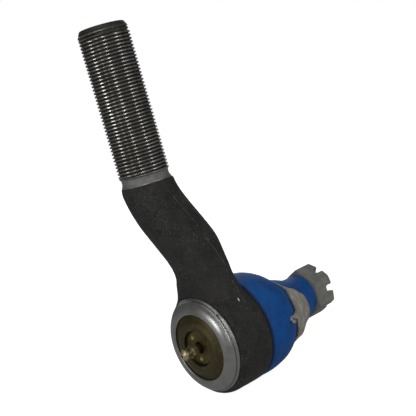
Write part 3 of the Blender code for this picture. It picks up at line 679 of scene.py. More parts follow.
def turned(name: str, outline: Outline, steps: int, axis: Axis = Axis.STUD, ring: bool = False,
           shape: Optional[Shaper] = None) -> bpy.types.Object:
    """Turn an outline about the stem's or the stud's axis into a closed mesh.

    Args:
        name: the object's name.
        outline: (radius, place along the axis) points; a closed ring or ending on the axis.
        steps: sides round the axis.
        axis: the line that it is turned about.
        ring: whether the outline's last point joins its first.
        shape: moves (radius, height) by angle, for what isn't quite round.

    Returns:
        The new object.
    """
    points = np.array(outline, float)
    angle = np.linspace(0.0, 2.0 * math.pi, steps, endpoint=False)
    radius = np.repeat(points[:, :1], steps, 1)
    height = np.repeat(points[:, 1:], steps, 1)
    turn = np.repeat(angle[None, :], len(points), 0)
    if shape is not None:
        radius, height = shape(radius, height, turn)
    across, up = radius * np.cos(turn), radius * np.sin(turn)
    if axis is Axis.STUD:
        place = (across + BALL[0], height, up + BALL[2])
    else:
        place = (across, up, height)
    verts = np.stack(place, -1).reshape(-1, 3)
    rows = len(points)
    faces = []
    for i in range(rows if ring else rows - 1):
        j = (i + 1) % rows
        for k in range(steps):
            n = (k + 1) % steps
            faces.append((i * steps + k, i * steps + n, j * steps + n, j * steps + k))
    mesh = bpy.data.meshes.new(name)
    mesh.from_pydata(verts.tolist(), [], faces)
    outward(mesh)
    return new_object(name, mesh)


def along_stud(item: bpy.types.Object, start: float) -> bpy.types.Object:
    """Move a piece made along local Z on to the stud's axis, its local 0 at start."""
    item.data.transform(Matrix.Translation((BALL[0], start, BALL[2]))
                        @ Matrix.Rotation(-math.pi / 2.0, 4, "X"))
    return item


def cut(item: bpy.types.Object, cutter: bpy.types.Object, operation: str = "DIFFERENCE") -> None:
    """Apply a Boolean with a cutter, which is then removed."""
    step = item.modifiers.new("cut", "BOOLEAN")
    step.object = cutter
    step.operation = operation
    step.solver = "EXACT"
    apply_modifiers(item)
    bpy.data.objects.remove(cutter)


def apply_modifiers(item: bpy.types.Object) -> None:
    """Make an object's modifiers part of its mesh."""
    graph = bpy.context.evaluated_depsgraph_get()
    mesh = bpy.data.meshes.new_from_object(item.evaluated_get(graph))
    item.modifiers.clear()
    item.data = mesh


def wander(points: np.ndarray, grain: float, seed: float) -> np.ndarray:
    """Smooth noise at points, about 0, with cells of the given size."""
    shift = Vector((seed, seed * 1.7, -seed))
    return np.array([noise.noise(Vector(p) / grain + shift) for p in points])


# ------------------------------------------------------------------ geometry node trees


class Shape(Tree):
    """A Geometry Nodes tree with named inputs, ended by Realize Instances and Set Material."""

    def __init__(self, name: str, inputs: Sequence[str]) -> None:
        """Make the tree.

        Args:
            name: the tree's name.
            inputs: names of its number inputs.
        """
        group = bpy.data.node_groups.new(name, "GeometryNodeTree")
        super().__init__(group)
        face = group.interface
        face.new_socket("Geometry", in_out="INPUT", socket_type="NodeSocketGeometry")
        for label in inputs:
            face.new_socket(label, in_out="INPUT", socket_type="NodeSocketFloat")
        face.new_socket("Finish", in_out="INPUT", socket_type="NodeSocketMaterial")
        face.new_socket("Geometry", in_out="OUTPUT", socket_type="NodeSocketGeometry")
        self.entry = group.nodes.new("NodeGroupInput")
        self.exit = group.nodes.new("NodeGroupOutput")

    def given(self, name: str) -> Value:
        """One of the tree's inputs."""
        return Value(self, self.entry.outputs[name])

    def position(self) -> tuple[Value, Value, Value]:
        """The point's coordinates."""
        split = self.node("ShaderNodeSeparateXYZ", sockets={0: self.node("GeometryNodeInputPosition")})
        return split, split.out(1), split.out(2)

    def end(self, geometry: Value) -> "Shape":
        """Close the tree on its result."""
        real = self.node("GeometryNodeRealizeInstances", sockets={0: geometry})
        done = self.node("GeometryNodeSetMaterial",
                         sockets={"Geometry": real, "Material": self.given("Finish")})
        self.tree.links.new(done.socket, self.exit.inputs[0])
        return self

    def apply(self, item: bpy.types.Object, finish: Finish, **values: float) -> bpy.types.Object:
        """Run the tree on an object and keep the plain mesh that comes out.

        Args:
            item: the object, whose mesh is the input.
            finish: the finish that the tree sets.
            **values: the number inputs, with spaces written as underscores.

        Returns:
            The same object.
        """
        step = item.modifiers.new(self.tree.name, "NODES")
        step.node_group = self.tree
        wanted = {name.replace("_", " "): value for name, value in values.items()}
        wanted["Finish"] = finish.material()
        for socket in self.tree.interface.items_tree:
            if socket.in_out == "INPUT" and socket.name in wanted:
                step[socket.identifier] = wanted[socket.name]
        apply_modifiers(item)
        return item


def thread_tree() -> Shape:
    """A right-hand thread pressed into a blank that stands along Z.

    Returns:
        The tree, with inputs for the pitch, the depth, where the thread starts and ends, its
        run-out and the blank's radius. A point moves inwards by the depth times the thread's
        form, so the blank's chamfer trims the first turns.
    """
    t = Shape("thread_form", ("Radius", "Pitch", "Depth", "Start", "End", "Run out"))
    x, y, z = t.position()
    radius = (x * x + y * y).math("SQRT")
    turn = t.node("ShaderNodeMath", {"operation": "ARCTAN2"}, {0: y, 1: x}) / (2.0 * math.pi)
    phase = z / t.given("Pitch") - turn
    off = ((phase.math("FRACT") - 0.5).math("ABSOLUTE") * 2.0)
    form = ((off - 0.34) / 0.52).math("MAXIMUM", 0.0).math("MINIMUM", 1.0)
    below = ((t.given("Start") - z) / t.given("Pitch")).math("MAXIMUM", 0.0).math("MINIMUM", 1.0)
    above = ((z - t.given("End")) / t.given("Run out")).math("MAXIMUM", 0.0).math("MINIMUM", 1.0)
    groove = t.given("Radius") - t.given("Depth") * form * below * above
    factor = (groove / radius.math("MAXIMUM", 0.0001)).math("MINIMUM", 1.0)
    inside = factor * (radius.math("GREATER_THAN", 0.003)) + radius.math("LESS_THAN", 0.0030001)
    moved = t.node("ShaderNodeCombineXYZ", sockets={0: x * inside, 1: y * inside, 2: z})
    return t.end(t.node("GeometryNodeSetPosition",
                        sockets={"Geometry": t.given("Geometry"), "Position": moved}))


def hexagon_tree() -> Shape:
    """Flats milled on a turned blank that stands along Z.

    Returns:
        The tree, with inputs for the size across the flats and the first corner's angle.
    """
    t = Shape("hexagon_flats", ("Across flats", "Corner angle", "From", "To"))
    x, y, z = t.position()
    radius = (x * x + y * y).math("SQRT")
    sixth = math.pi / 3.0
    turn = t.node("ShaderNodeMath", {"operation": "ARCTAN2"}, {0: y, 1: x}) - t.given("Corner angle")
    side = (turn / sixth + 12.0).math("FRACT") * sixth - sixth / 2.0
    flat = t.given("Across flats") / 2.0 / side.math("COSINE")
    wanted = (flat / radius.math("MAXIMUM", 0.0001)).math("MINIMUM", 1.0)
    inside = z.math("GREATER_THAN", t.given("From")) * z.math("LESS_THAN", t.given("To"))
    factor = wanted * inside + (1.0 - inside)
    moved = t.node("ShaderNodeCombineXYZ", sockets={0: x * factor, 1: y * factor, 2: z})
    return t.end(t.node("GeometryNodeSetPosition",
                        sockets={"Geometry": t.given("Geometry"), "Position": moved}))


def slot_tree() -> Shape:
    """Cutters for a ring of six slots: rounded bars spread round Z.

    Returns:
        The tree, which instances the input bar on six points with a turn of 60 degrees each.
    """
    t = Shape("slot_ring", ("Reach",))
    ring = t.node("GeometryNodeMeshCircle", sockets={"Vertices": 6, "Radius": t.given("Reach")})
    index = t.node("GeometryNodeInputIndex")
    angle = t.node("ShaderNodeCombineXYZ", sockets={2: index * (math.pi / 3.0)})
    bars = t.node("GeometryNodeInstanceOnPoints", sockets={
        "Points": ring, "Instance": t.given("Geometry"), "Rotation": angle})
    return t.end(bars)


# ------------------------------------------------------------------ sub-assemblies


def finish_piece(item: bpy.types.Object, body: str, nodes: Sequence[str],
                 finish: Optional[Finish] = None) -> bpy.types.Object:
    """Dress a piece, hang it on its body and say which CAD nodes it stands for.

    Args:
        item: the finished mesh.
        body: the CAD body that it moves with.
        nodes: the CAD nodes that it replaces.
        finish: its finish, unless its mesh already has one.

    Returns:
        The same object.
    """
    if finish is not None:
        item.data.materials.clear()
        item.data.materials.append(finish.material())
    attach(item, body)
    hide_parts(*nodes)
    LOG.info("%s: %d faces, on %s", item.name, len(item.data.polygons), body)
    return item


@dataclass
class ThreadedStem:
    """The stem: right-hand thread, chamfered end and the run-out band above the shank."""

    radius: float = 0.015875
    pitch: float = 0.0254 / 12.0
    depth: float = 0.00125
    length: float = 0.0920
    end_radius: float = 0.0138
    end_cone: float = 0.0039
    relief_radius: float = 0.01482
    foot_z: float = -0.0978
    root_z: float = -0.1013
    steps: int = 112
    rings_per_pitch: int = 14

    def outline(self) -> Outline:
        """The blank's outline from the end face's centre to the buried foot."""
        head = rounded([(0.0, 0.0), (self.end_radius, 0.0), (self.radius, -self.end_cone),
                        (self.radius, -self.end_cone - 0.002)], 0.0006, 3)
        head = [head[0], (0.004, 0.0), (0.008, 0.0), *head[1:-1]]
        bottom = -self.length
        shank = dense([(self.radius, -self.end_cone - 0.002), (self.radius, bottom)],
                      self.pitch / self.rings_per_pitch)
        cone = dense(head[3:], self.pitch / self.rings_per_pitch)
        relief = self.relief_radius
        foot = rounded([(self.radius, bottom), (relief, bottom - 0.0009), (relief, self.foot_z + 0.0022),
                        (relief + 0.0010, self.foot_z), (relief + 0.0010, self.root_z),
                        (0.0, self.root_z)], 0.0007, 4)
        return [*head[:3], *cone, *shank[1:], *foot[1:]]

    def build(self, thread: Shape) -> bpy.types.Object:
        """Make the stem and cut its thread."""
        item = turned("threaded_stem", self.outline(), self.steps, Axis.STEM)
        finish = CutThread("oily_cut_thread", bare=(self.foot_z + 0.0062, self.foot_z - 0.004))
        thread.apply(item, finish, Radius=self.radius, Pitch=self.pitch, Depth=self.depth,
                     Start=-0.0006, End=-self.length, Run_out=0.0012)
        smooth(item, 50.0)
        return finish_piece(item, "socket", ["socket_body"])


@dataclass
class Forging:
    """The cranked shank and the ball housing's barrel, forged in one."""

    top_z: float = -0.0978
    shank_radius: float = 0.0168
    root_length: float = 0.0030
    crank_offset: float = 0.0310
    crank_length: float = 0.0610
    housing_radius: float = 0.0320
    rear_y: float = 0.0078
    face_y: float = -0.0168
    land_radius: float = 0.0250
    land_height: float = 0.0034
    bore_radius: float = 0.0193
    opening_radius: float = 0.0168
    rear_lip: float = 0.0028
    voxel: float = 0.00075
    rows: int = 110
    sides: int = 112

    @property
    def head_start(self) -> float:
        """Height at which the shank starts to widen into the housing."""
        return BALL[2] + 0.056

    @property
    def head_end(self) -> float:
        """Height at which the widened shank ends inside the housing."""
        return BALL[2] + 0.006

    @staticmethod
    def step(t: np.ndarray) -> np.ndarray:
        """Smooth step between 0 and 1."""
        t = np.clip(t, 0.0, 1.0)
        return t * t * (3.0 - 2.0 * t)

    def centre(self, z: np.ndarray) -> np.ndarray:
        """The shank centre's x at height z."""
        crank = self.crank_offset * self.step((self.top_z - z) / self.crank_length)
        drift = (BALL[0] - self.crank_offset) * self.step(
            (self.head_start - z) / (self.head_start - BALL[2]))
        return crank + drift

    def shank(self) -> bpy.types.Object:
        """Loft from the round shank to the flat-sided neck that runs into the housing."""
        z = np.linspace(self.top_z, self.head_end, self.rows)[:, None]
        grow = (self.head_start - z) / (self.head_start - self.head_end)
        root = self.step((self.top_z - z) / self.root_length)
        radius = self.shank_radius - 0.0006 * (1.0 - root)
        half = radius + (self.housing_radius - 0.0022 - radius) * self.step(grow * 0.92)
        front = -radius + (-0.0160 + radius) * self.step(grow * 1.6)
        rear = radius + (self.rear_y - radius) * self.step(grow * 2.3)
        slope = (self.centre(z + 0.0005) - self.centre(z - 0.0005)) / 0.001
        stretch = np.sqrt(1.0 + slope ** 2)
        power = 2.0 / (2.0 + 1.2 * self.step(grow))
        turn = np.linspace(0.0, 2.0 * math.pi, self.sides, endpoint=False)[None, :]
        across = np.sign(np.cos(turn)) * np.abs(np.cos(turn)) ** power
        deep = np.sign(np.sin(turn)) * np.abs(np.sin(turn)) ** power
        depth = np.where(deep > 0.0, rear, -front)
        x = self.centre(z) + half * across / stretch
        tall = z - half * across * slope / stretch
        verts = np.stack((x, depth * deep, tall), -1).reshape(-1, 3)
        faces = []
        for i in range(self.rows - 1):
            for k in range(self.sides):
                n = (k + 1) % self.sides
                faces.append((i * self.sides + k, i * self.sides + n,
                              (i + 1) * self.sides + n, (i + 1) * self.sides + k))
        faces.append(tuple(range(self.sides)))
        last = (self.rows - 1) * self.sides
        faces.append(tuple(range(last, last + self.sides)))
        mesh = bpy.data.meshes.new("shank_loft")
        mesh.from_pydata(verts.tolist(), [], faces)
        outward(mesh)
        return new_object("shank_loft", mesh)

    def barrel(self) -> bpy.types.Object:
        """The housing's turned outside, from the boot's land to the machined face."""
        corner = rounded([(self.land_radius, self.rear_y), (self.housing_radius, self.rear_y),
                          (self.housing_radius, -0.0125), (0.0310, -0.0158), (0.0284, self.face_y),
                          (0.0, self.face_y)], 0.0016, 5)
        outline = [(0.0, self.rear_y + self.land_height),
                   (self.land_radius, self.rear_y + self.land_height), *corner]
        return turned("barrel", dense(outline, 0.0012), 128)

    def cavity(self) -> bpy.types.Object:
        """What is bored out of the housing."""
        back = self.rear_y + self.land_height + 0.004
        return turned("cavity", [
            (0.0, back), (self.opening_radius + 0.0034, back),
            (self.opening_radius + 0.0026, back - 0.004), (self.opening_radius, self.rear_y - 0.0004),
            (self.opening_radius, self.rear_y - self.rear_lip),
            (self.bore_radius, self.rear_y - self.rear_lip),
            (self.bore_radius, self.face_y - 0.004), (0.0, self.face_y - 0.004)], 96)

    def build(self) -> bpy.types.Object:
        """Join shank and barrel into one skin, soften where they meet, and bore it."""
        item = self.shank()
        barrel = self.barrel()
        form = bmesh.new()
        form.from_mesh(item.data)
        form.from_mesh(barrel.data)
        form.to_mesh(item.data)
        form.free()
        bpy.data.objects.remove(barrel)
        remesh = item.modifiers.new("skin", "REMESH")
        remesh.mode = "VOXEL"
        remesh.voxel_size = self.voxel
        apply_modifiers(item)
        item.name = "forged_body"
        self.soften(item)
        cut(item, self.cavity())
        smooth(item, 42.0)
        return finish_piece(item, "socket", ["socket_body"],
                            ForgedSkin("forged_skin"))

    def soften(self, item: bpy.types.Object) -> None:
        """Fillet the shank into the barrel and give the skin its slight unevenness."""
        mesh = item.data
        place = np.empty(len(mesh.vertices) * 3)
        mesh.vertices.foreach_get("co", place)
        place = place.reshape(-1, 3)
        radius = np.hypot(place[:, 0] - BALL[0], place[:, 2] - BALL[2])
        rim = 1.0 - self.step(np.abs(radius - self.housing_radius) / 0.0085)
        above = self.step((place[:, 2] - BALL[2] - 0.004) / 0.010)
        flat = self.step((self.rear_y - 0.0012 - place[:, 1]) / 0.0012)
        group = item.vertex_groups.new(name="fillet")
        for i, weight in enumerate(rim * above * flat):
            if weight > 0.01:
                group.add([i], float(weight), "REPLACE")
        for kind, factor, rounds in (("fillet", 0.9, 42), ("", 0.5, 2)):
            relax = item.modifiers.new("relax", "SMOOTH")
            relax.factor = factor
            relax.iterations = rounds
            relax.vertex_group = kind
        apply_modifiers(item)
        mesh = item.data
        mesh.vertices.foreach_get("co", place.reshape(-1))
        place = np.array([v.co for v in mesh.vertices])
        normal = np.array([v.normal for v in mesh.vertices])
        uneven = wander(place, 0.012, 3.1) * 0.00022 + wander(place, 0.0032, 8.4) * 0.00007
        uneven *= self.step((self.top_z - place[:, 2]) / 0.004)
        uneven *= self.step((self.rear_y - 0.0006 - place[:, 1]) / 0.002)
        mesh.vertices.foreach_set("co", (place + normal * uneven[:, None]).astype(np.float32).ravel())
        mesh.update()


@dataclass
class FaceRing:
    """The machined face round the cover: an outer ring, a groove and the rolled lip."""

    outer: float = 0.0290
    edge_y: float = -0.0172
    step_radius: float = 0.0278
    lip_radius: float = 0.0205
    lip_y: float = -0.0220
    back_y: float = -0.0166
    cover_radius: float = 0.0221
    seat_y: float = -0.0185

    def outline(self) -> Outline:
        """The ring's closed outline, from its outer back edge over the lip to the cover's seat."""
        rim = rounded([
            (self.outer - 0.0010, self.back_y), (self.outer, self.back_y - 0.0002),
            (self.outer, self.edge_y - 0.0003), (self.outer - 0.0005, self.edge_y - 0.0010),
            (self.step_radius + 0.00055, self.edge_y - 0.0013),
            (self.step_radius + 0.0003, self.edge_y - 0.0009),
            (self.step_radius, self.edge_y - 0.0009), (self.step_radius - 0.0001, self.edge_y - 0.0015),
        ], 0.00018, 3)
        run = self.step_radius - self.lip_radius
        rise = self.lip_y - self.edge_y + 0.0015
        shape = ((0.01, 0.05), (0.05, 0.22), (0.16, 0.44), (0.37, 0.68), (0.63, 0.87), (0.88, 0.98))
        lip = smooth_curve([(self.step_radius - run * t, self.edge_y - 0.0015 + rise * h)
                            for t, h in shape] + [(self.lip_radius + 0.0004, self.lip_y)], 5)
        inner = rounded([lip[-1], (self.lip_radius + 0.0003, self.lip_y),
                         (self.lip_radius - 0.0002, self.lip_y + 0.0003),
                         (self.lip_radius - 0.0002, self.lip_y + 0.0008),
                         (self.cover_radius, self.lip_y + 0.0008),
                         (self.cover_radius, self.seat_y), (0.0193, self.seat_y),
                         (0.0193, self.back_y)], 0.0002, 3)
        return [*rim, *lip, *inner[1:]]

    def build(self) -> bpy.types.Object:
        """Make the ring, with a few small dents on its outer edge."""
        def dented(radius: np.ndarray, height: np.ndarray, turn: np.ndarray) -> tuple:
            """Small flats on the rim at fixed angles."""
            bite = np.zeros_like(turn)
            for angle, wide, deep in ((0.72, 0.05, 1.0), (0.95, 0.03, 0.6), (-0.55, 0.06, 0.8),
                                      (-1.15, 0.04, 0.7), (1.75, 0.05, 0.6)):
                gap = np.angle(np.exp(1j * (turn - angle)))
                bite += deep * np.exp(-(gap / wide) ** 2)
            edge = np.clip((radius - self.outer + 0.0009) / 0.0009, 0.0, 1.0)
            return radius - bite * edge * 0.00028, height + bite * edge * 0.00022

        item = smooth(turned("machined_face", self.outline(), 224, ring=True, shape=dented), 40.0)
        return finish_piece(item, "socket", ["socket_body"],
                            TurnedSteel("turned_face_steel"))


@dataclass
class Cover:
    """The dished cover with its sunk centre and two small round dimples."""

    radius: float = 0.0218
    seen_radius: float = 0.0200
    face_y: float = -0.0211
    crown_y: float = -0.0234
    recess_radius: float = 0.0108
    floor_y: float = -0.0214
    thickness: float = 0.0019
    hole: float = 0.0033

    def outline(self) -> Outline:
        """The plate's closed outline."""
        face = [(self.seen_radius, self.face_y), (0.0192, -0.02130), (0.0180, -0.02180),
                (0.0167, -0.02250), (0.0153, -0.02312), (0.0138, -0.02342), (0.0124, self.crown_y)]
        dish = smooth_curve(face, 6)
        recess = rounded([(0.0124, self.crown_y), (self.recess_radius + 0.0002, self.crown_y),
                          (self.recess_radius - 0.0002, self.floor_y),
                          (self.hole + 0.0004, self.floor_y - 0.00015),
                          (self.hole, self.floor_y + 0.0004),
                          (self.hole, self.floor_y + self.thickness)], 0.00045, 4)
        back = self.face_y + self.thickness
        rim = [(self.hole, self.floor_y + self.thickness),
               (self.recess_radius + 0.0012, self.floor_y + self.thickness),
               (self.recess_radius + 0.0016, back), (self.radius, back), (self.radius, self.face_y)]
        return dense([*dish, *recess[1:-1], *rim], 0.00055)

    def build(self) -> bpy.types.Object:
        """Make the cover, press its dimples and let its surface wave a little."""
        def pressed(radius: np.ndarray, height: np.ndarray, turn: np.ndarray) -> tuple:
            """Push the outer face in at each dimple, with a low rim round it."""
            outer = (height < self.floor_y + 0.0004) & (radius < self.recess_radius - 0.0008)
            x, z = radius * np.cos(turn), radius * np.sin(turn)
            push = np.zeros_like(radius)
            for far, angle in DIMPLES:
                off = np.hypot(x - far * math.cos(angle), z - far * math.sin(angle))
                push += np.exp(-(off / 0.00095) ** 2) * 0.00070
                push -= np.exp(-((off - 0.00155) / 0.0004) ** 2) * 0.00022
            ripple = 0.00006 * np.sin(turn * 3.0 + 0.6) + 0.00004 * np.sin(turn * 7.0)
            waved = np.where((radius > 0.0115) & (radius < 0.0192) & (height < -0.0213), ripple, 0.0)
            return radius, height + np.where(outer, push, 0.0) + waved

        item = turned("dished_cover", self.outline(), 192, ring=True, shape=pressed)
        smooth(item, 55.0)
        return finish_piece(item, "socket", ["cover_plate"], AgedZinc("aged_yellow_zinc"))


@dataclass
class GreaseFitting:
    shank: float = 0.0030
    inner_y: float = -0.0190
    hex_y: float = -0.0247
    head_y: float = -0.0291
    tip_y: float = -0.0353
    across_flats: float = 0.0070
    head: float = 0.00325
    neck: float = 0.0024
    bore: float = 0.0014
    corner_angle: float = 0.35

    def build(self, flats: Shape) -> bpy.types.Object:
        """Turn the blank along local Z, mill its hexagon and lay it on the stud's axis."""
        corner = self.across_flats / math.sqrt(3.0) + 0.0001
        up = [y - self.tip_y for y in (self.inner_y, self.hex_y, self.head_y, self.tip_y)]
        inner, base, head, tip = up
        outside = [
            (self.bore - 0.0005, inner), (self.shank - 0.0004, inner), (self.shank, inner - 0.0004),
            (self.shank, base + 0.0002), (corner - 0.0006, base), (corner, base - 0.0005),
            (corner, head + 0.0006), (corner - 0.0007, head + 0.0001), (self.neck + 0.0006, head),
            (self.neck + 0.0001, head - 0.0004), (self.neck, head - 0.0013),
            (self.neck + 0.0003, head - 0.0019), (self.head, head - 0.0030),
            (self.head, head - 0.0040), (self.head - 0.0003, head - 0.0046),
            (self.head - 0.0009, tip + 0.0006), (self.head - 0.0017, tip),
            (0.0009, tip), (0.00066, tip + 0.0003), (0.00066, tip + 0.0009),
            (self.bore, tip + 0.0020), (self.bore, base - 0.0012), (self.bore - 0.0005, base - 0.0006),
        ]
        outline = dense([*rounded(outside, 0.00022, 3)], 0.00035)
        item = turned("nipple_body", outline, 96, Axis.STEM, ring=True)
        flats.apply(item, DullBrass("dull_gold_fitting"), Across_flats=self.across_flats,
                    Corner_angle=self.corner_angle, From=head - 0.0002, To=base + 0.0003)
        turn = Matrix.Translation((BALL[0], self.tip_y, BALL[2])) @ Matrix.Rotation(-math.pi / 2, 4, "X")
        item.data.transform(turn)
        outward(item.data)
        smooth(item, 35.0)
        item.name = "grease_nipple"
        return finish_piece(item, "socket", ["grease_fitting"])


@dataclass
class SlottedNut:
    """Hexagon nut with six slots at the stud's end."""

    across_flats: float = 0.028575
    height: float = 0.0156
    start_y: float = 0.0685
    slot_width: float = 0.0047
    slot_depth: float = 0.0056
    chamfer: float = 0.0016
    bore: float = 0.009825

    def build(self, flats: Shape, slots: Shape) -> bpy.types.Object:
        """Turn the blank, mill the flats, cut the slots and break the edges."""
        corner = self.across_flats / math.sqrt(3.0)
        flat = self.across_flats / 2.0
        top = self.height
        outline = dense([
            (self.bore, 0.0012), (self.bore + 0.0012, 0.0), (flat - 0.0004, 0.0),
            (corner + 0.0004, self.chamfer * 0.8), (corner + 0.0004, top - self.chamfer),
            (flat - 0.0006, top), (self.bore + 0.0010, top), (self.bore, top - 0.0010),
            (self.bore, 0.0012)], 0.0007)[:-1]
        item = turned("nut_blank", outline, 144, Axis.STEM, ring=True)
        finish = GreyNut("grey_nut_steel")
        flats.apply(item, finish, Across_flats=self.across_flats, Corner_angle=math.pi / 6.0,
                    From=-0.001, To=top + 0.001)
        outward(item.data)
        cut(item, self.bars(slots, finish))
        bevel = item.modifiers.new("edges", "BEVEL")
        bevel.width = 0.00028
        bevel.segments = 2
        bevel.limit_method = "ANGLE"
        bevel.angle_limit = math.radians(38.0)
        apply_modifiers(item)
        along_stud(item, self.start_y)
        outward(item.data)
        smooth(item, 30.0)
        item.name = "castle_nut"
        return finish_piece(item, "nut", ["slotted_nut"], finish)

    def bars(self, slots: Shape, finish: Finish) -> bpy.types.Object:
        """The slots' cutters: one round-cornered bar, spread round the nut."""
        mesh = bpy.data.meshes.new("slot_bar")
        form = bmesh.new()
        bmesh.ops.create_cube(form, size=1.0)
        bmesh.ops.scale(form, vec=(0.012, self.slot_width, self.slot_depth * 2.0), verts=form.verts)
        low = [e for e in form.edges if abs(e.verts[0].co.y - e.verts[1].co.y) < 1e-9
               and abs(e.verts[0].co.z - e.verts[1].co.z) < 1e-9 and e.verts[0].co.z < 0.0]
        bmesh.ops.bevel(form, geom=low, offset=0.0011, segments=3, affect="EDGES", profile=0.5)
        for vert in form.verts:
            if vert.co.z > 0.0:
                vert.co.y *= 1.06
        form.to_mesh(mesh)
        form.free()
        bar = new_object("slot_bar", mesh)
        slots.apply(bar, finish, Reach=self.across_flats / 2.0 + 0.0005)
        bar.data.transform(Matrix.Translation((0.0, 0.0, self.height)))
        outward(bar.data)
        return bar


@dataclass
class BallStud:
    """Ball, neck, 1 in 8 taper and the stud's threaded end with its split-pin hole."""

    ball: float = 0.0140
    neck: float = 0.0080
    taper_y: float = 0.0260
    taper_length: float = 0.0380
    taper: float = 1.0 / 8.0
    thread: float = 0.009525
    pitch: float = 0.0254 / 16.0
    depth: float = 0.00095
    end_y: float = 0.0825
    chamfer: float = 0.0016
    hole: float = 0.0020
    hole_y: float = 0.0775

    def outline(self) -> Outline:
        """The stud's outline along local Z, from the far end back to the ball."""
        small = self.taper_y + self.taper_length
        large = self.thread + self.taper_length * self.taper / 2.0
        neck_angle = math.asin(self.neck / self.ball)
        neck_y = BALL[1] + self.ball * math.cos(neck_angle)
        head = rounded([(0.0, self.end_y), (self.thread - self.chamfer, self.end_y),
                        (self.thread, self.end_y - self.chamfer), (self.thread, small + 0.0030)],
                       0.0005, 3)
        body = rounded([(self.thread, small + 0.0030), (self.thread - 0.0010, small + 0.0022),
                        (self.thread - 0.0010, small + 0.0006), (self.thread, small),
                        (large, self.taper_y), (large - 0.0008, self.taper_y - 0.0014),
                        (large - 0.0020, self.taper_y - 0.0042), (self.neck + 0.0008, neck_y + 0.0050),
                        (self.neck, neck_y + 0.0024), (self.neck, neck_y)], 0.0012, 4)
        sphere = []
        for i in range(1, 37):
            angle = neck_angle + (math.radians(166.0) - neck_angle) * i / 36
            sphere.append((self.ball * math.sin(angle), BALL[1] + self.ball * math.cos(angle)))
        flat = [(0.0, sphere[-1][1])]
        upper = dense(head, self.pitch / 12.0)
        return [*upper, *body[1:], *sphere, *flat]

    def build(self, thread: Shape) -> bpy.types.Object:
        """Turn the stud, cut its thread, lay it on its axis and drill the hole."""
        item = turned("stud_blank", self.outline(), 80, Axis.STEM)
        # The root colour below is painted shade in the stud thread's roots.
        finish = CutThread("stud_steel", axis=Axis.STUD, crest=self.thread, depth=self.depth,
                           steel=(0.34, 0.335, 0.325), root=(0.07, 0.066, 0.058))
        small = self.taper_y + self.taper_length
        thread.apply(item, finish, Radius=self.thread, Pitch=self.pitch, Depth=self.depth,
                     Start=self.end_y + 0.0004, End=small + 0.0030, Run_out=0.0010)
        return self.place(item, finish)

    def place(self, item: bpy.types.Object, finish: Finish) -> bpy.types.Object:
        """Lay the stud on its axis, drill it and hang it on its body."""
        along_stud(item, 0.0)
        outward(item.data)
        mesh = bpy.data.meshes.new("drill")
        form = bmesh.new()
        bmesh.ops.create_cone(form, cap_ends=True, segments=32, radius1=self.hole,
                              radius2=self.hole, depth=0.03)
        form.transform(Matrix.Translation((BALL[0], self.hole_y, BALL[2]))
                       @ Matrix.Rotation(math.pi / 2.0, 4, "Y"))
        form.to_mesh(mesh)
        form.free()
        cut(item, new_object("drill", mesh))
        smooth(item, 40.0)
        item.name = "ball_stud_turned"
        return finish_piece(item, "stud", ["ball_stud"], finish)


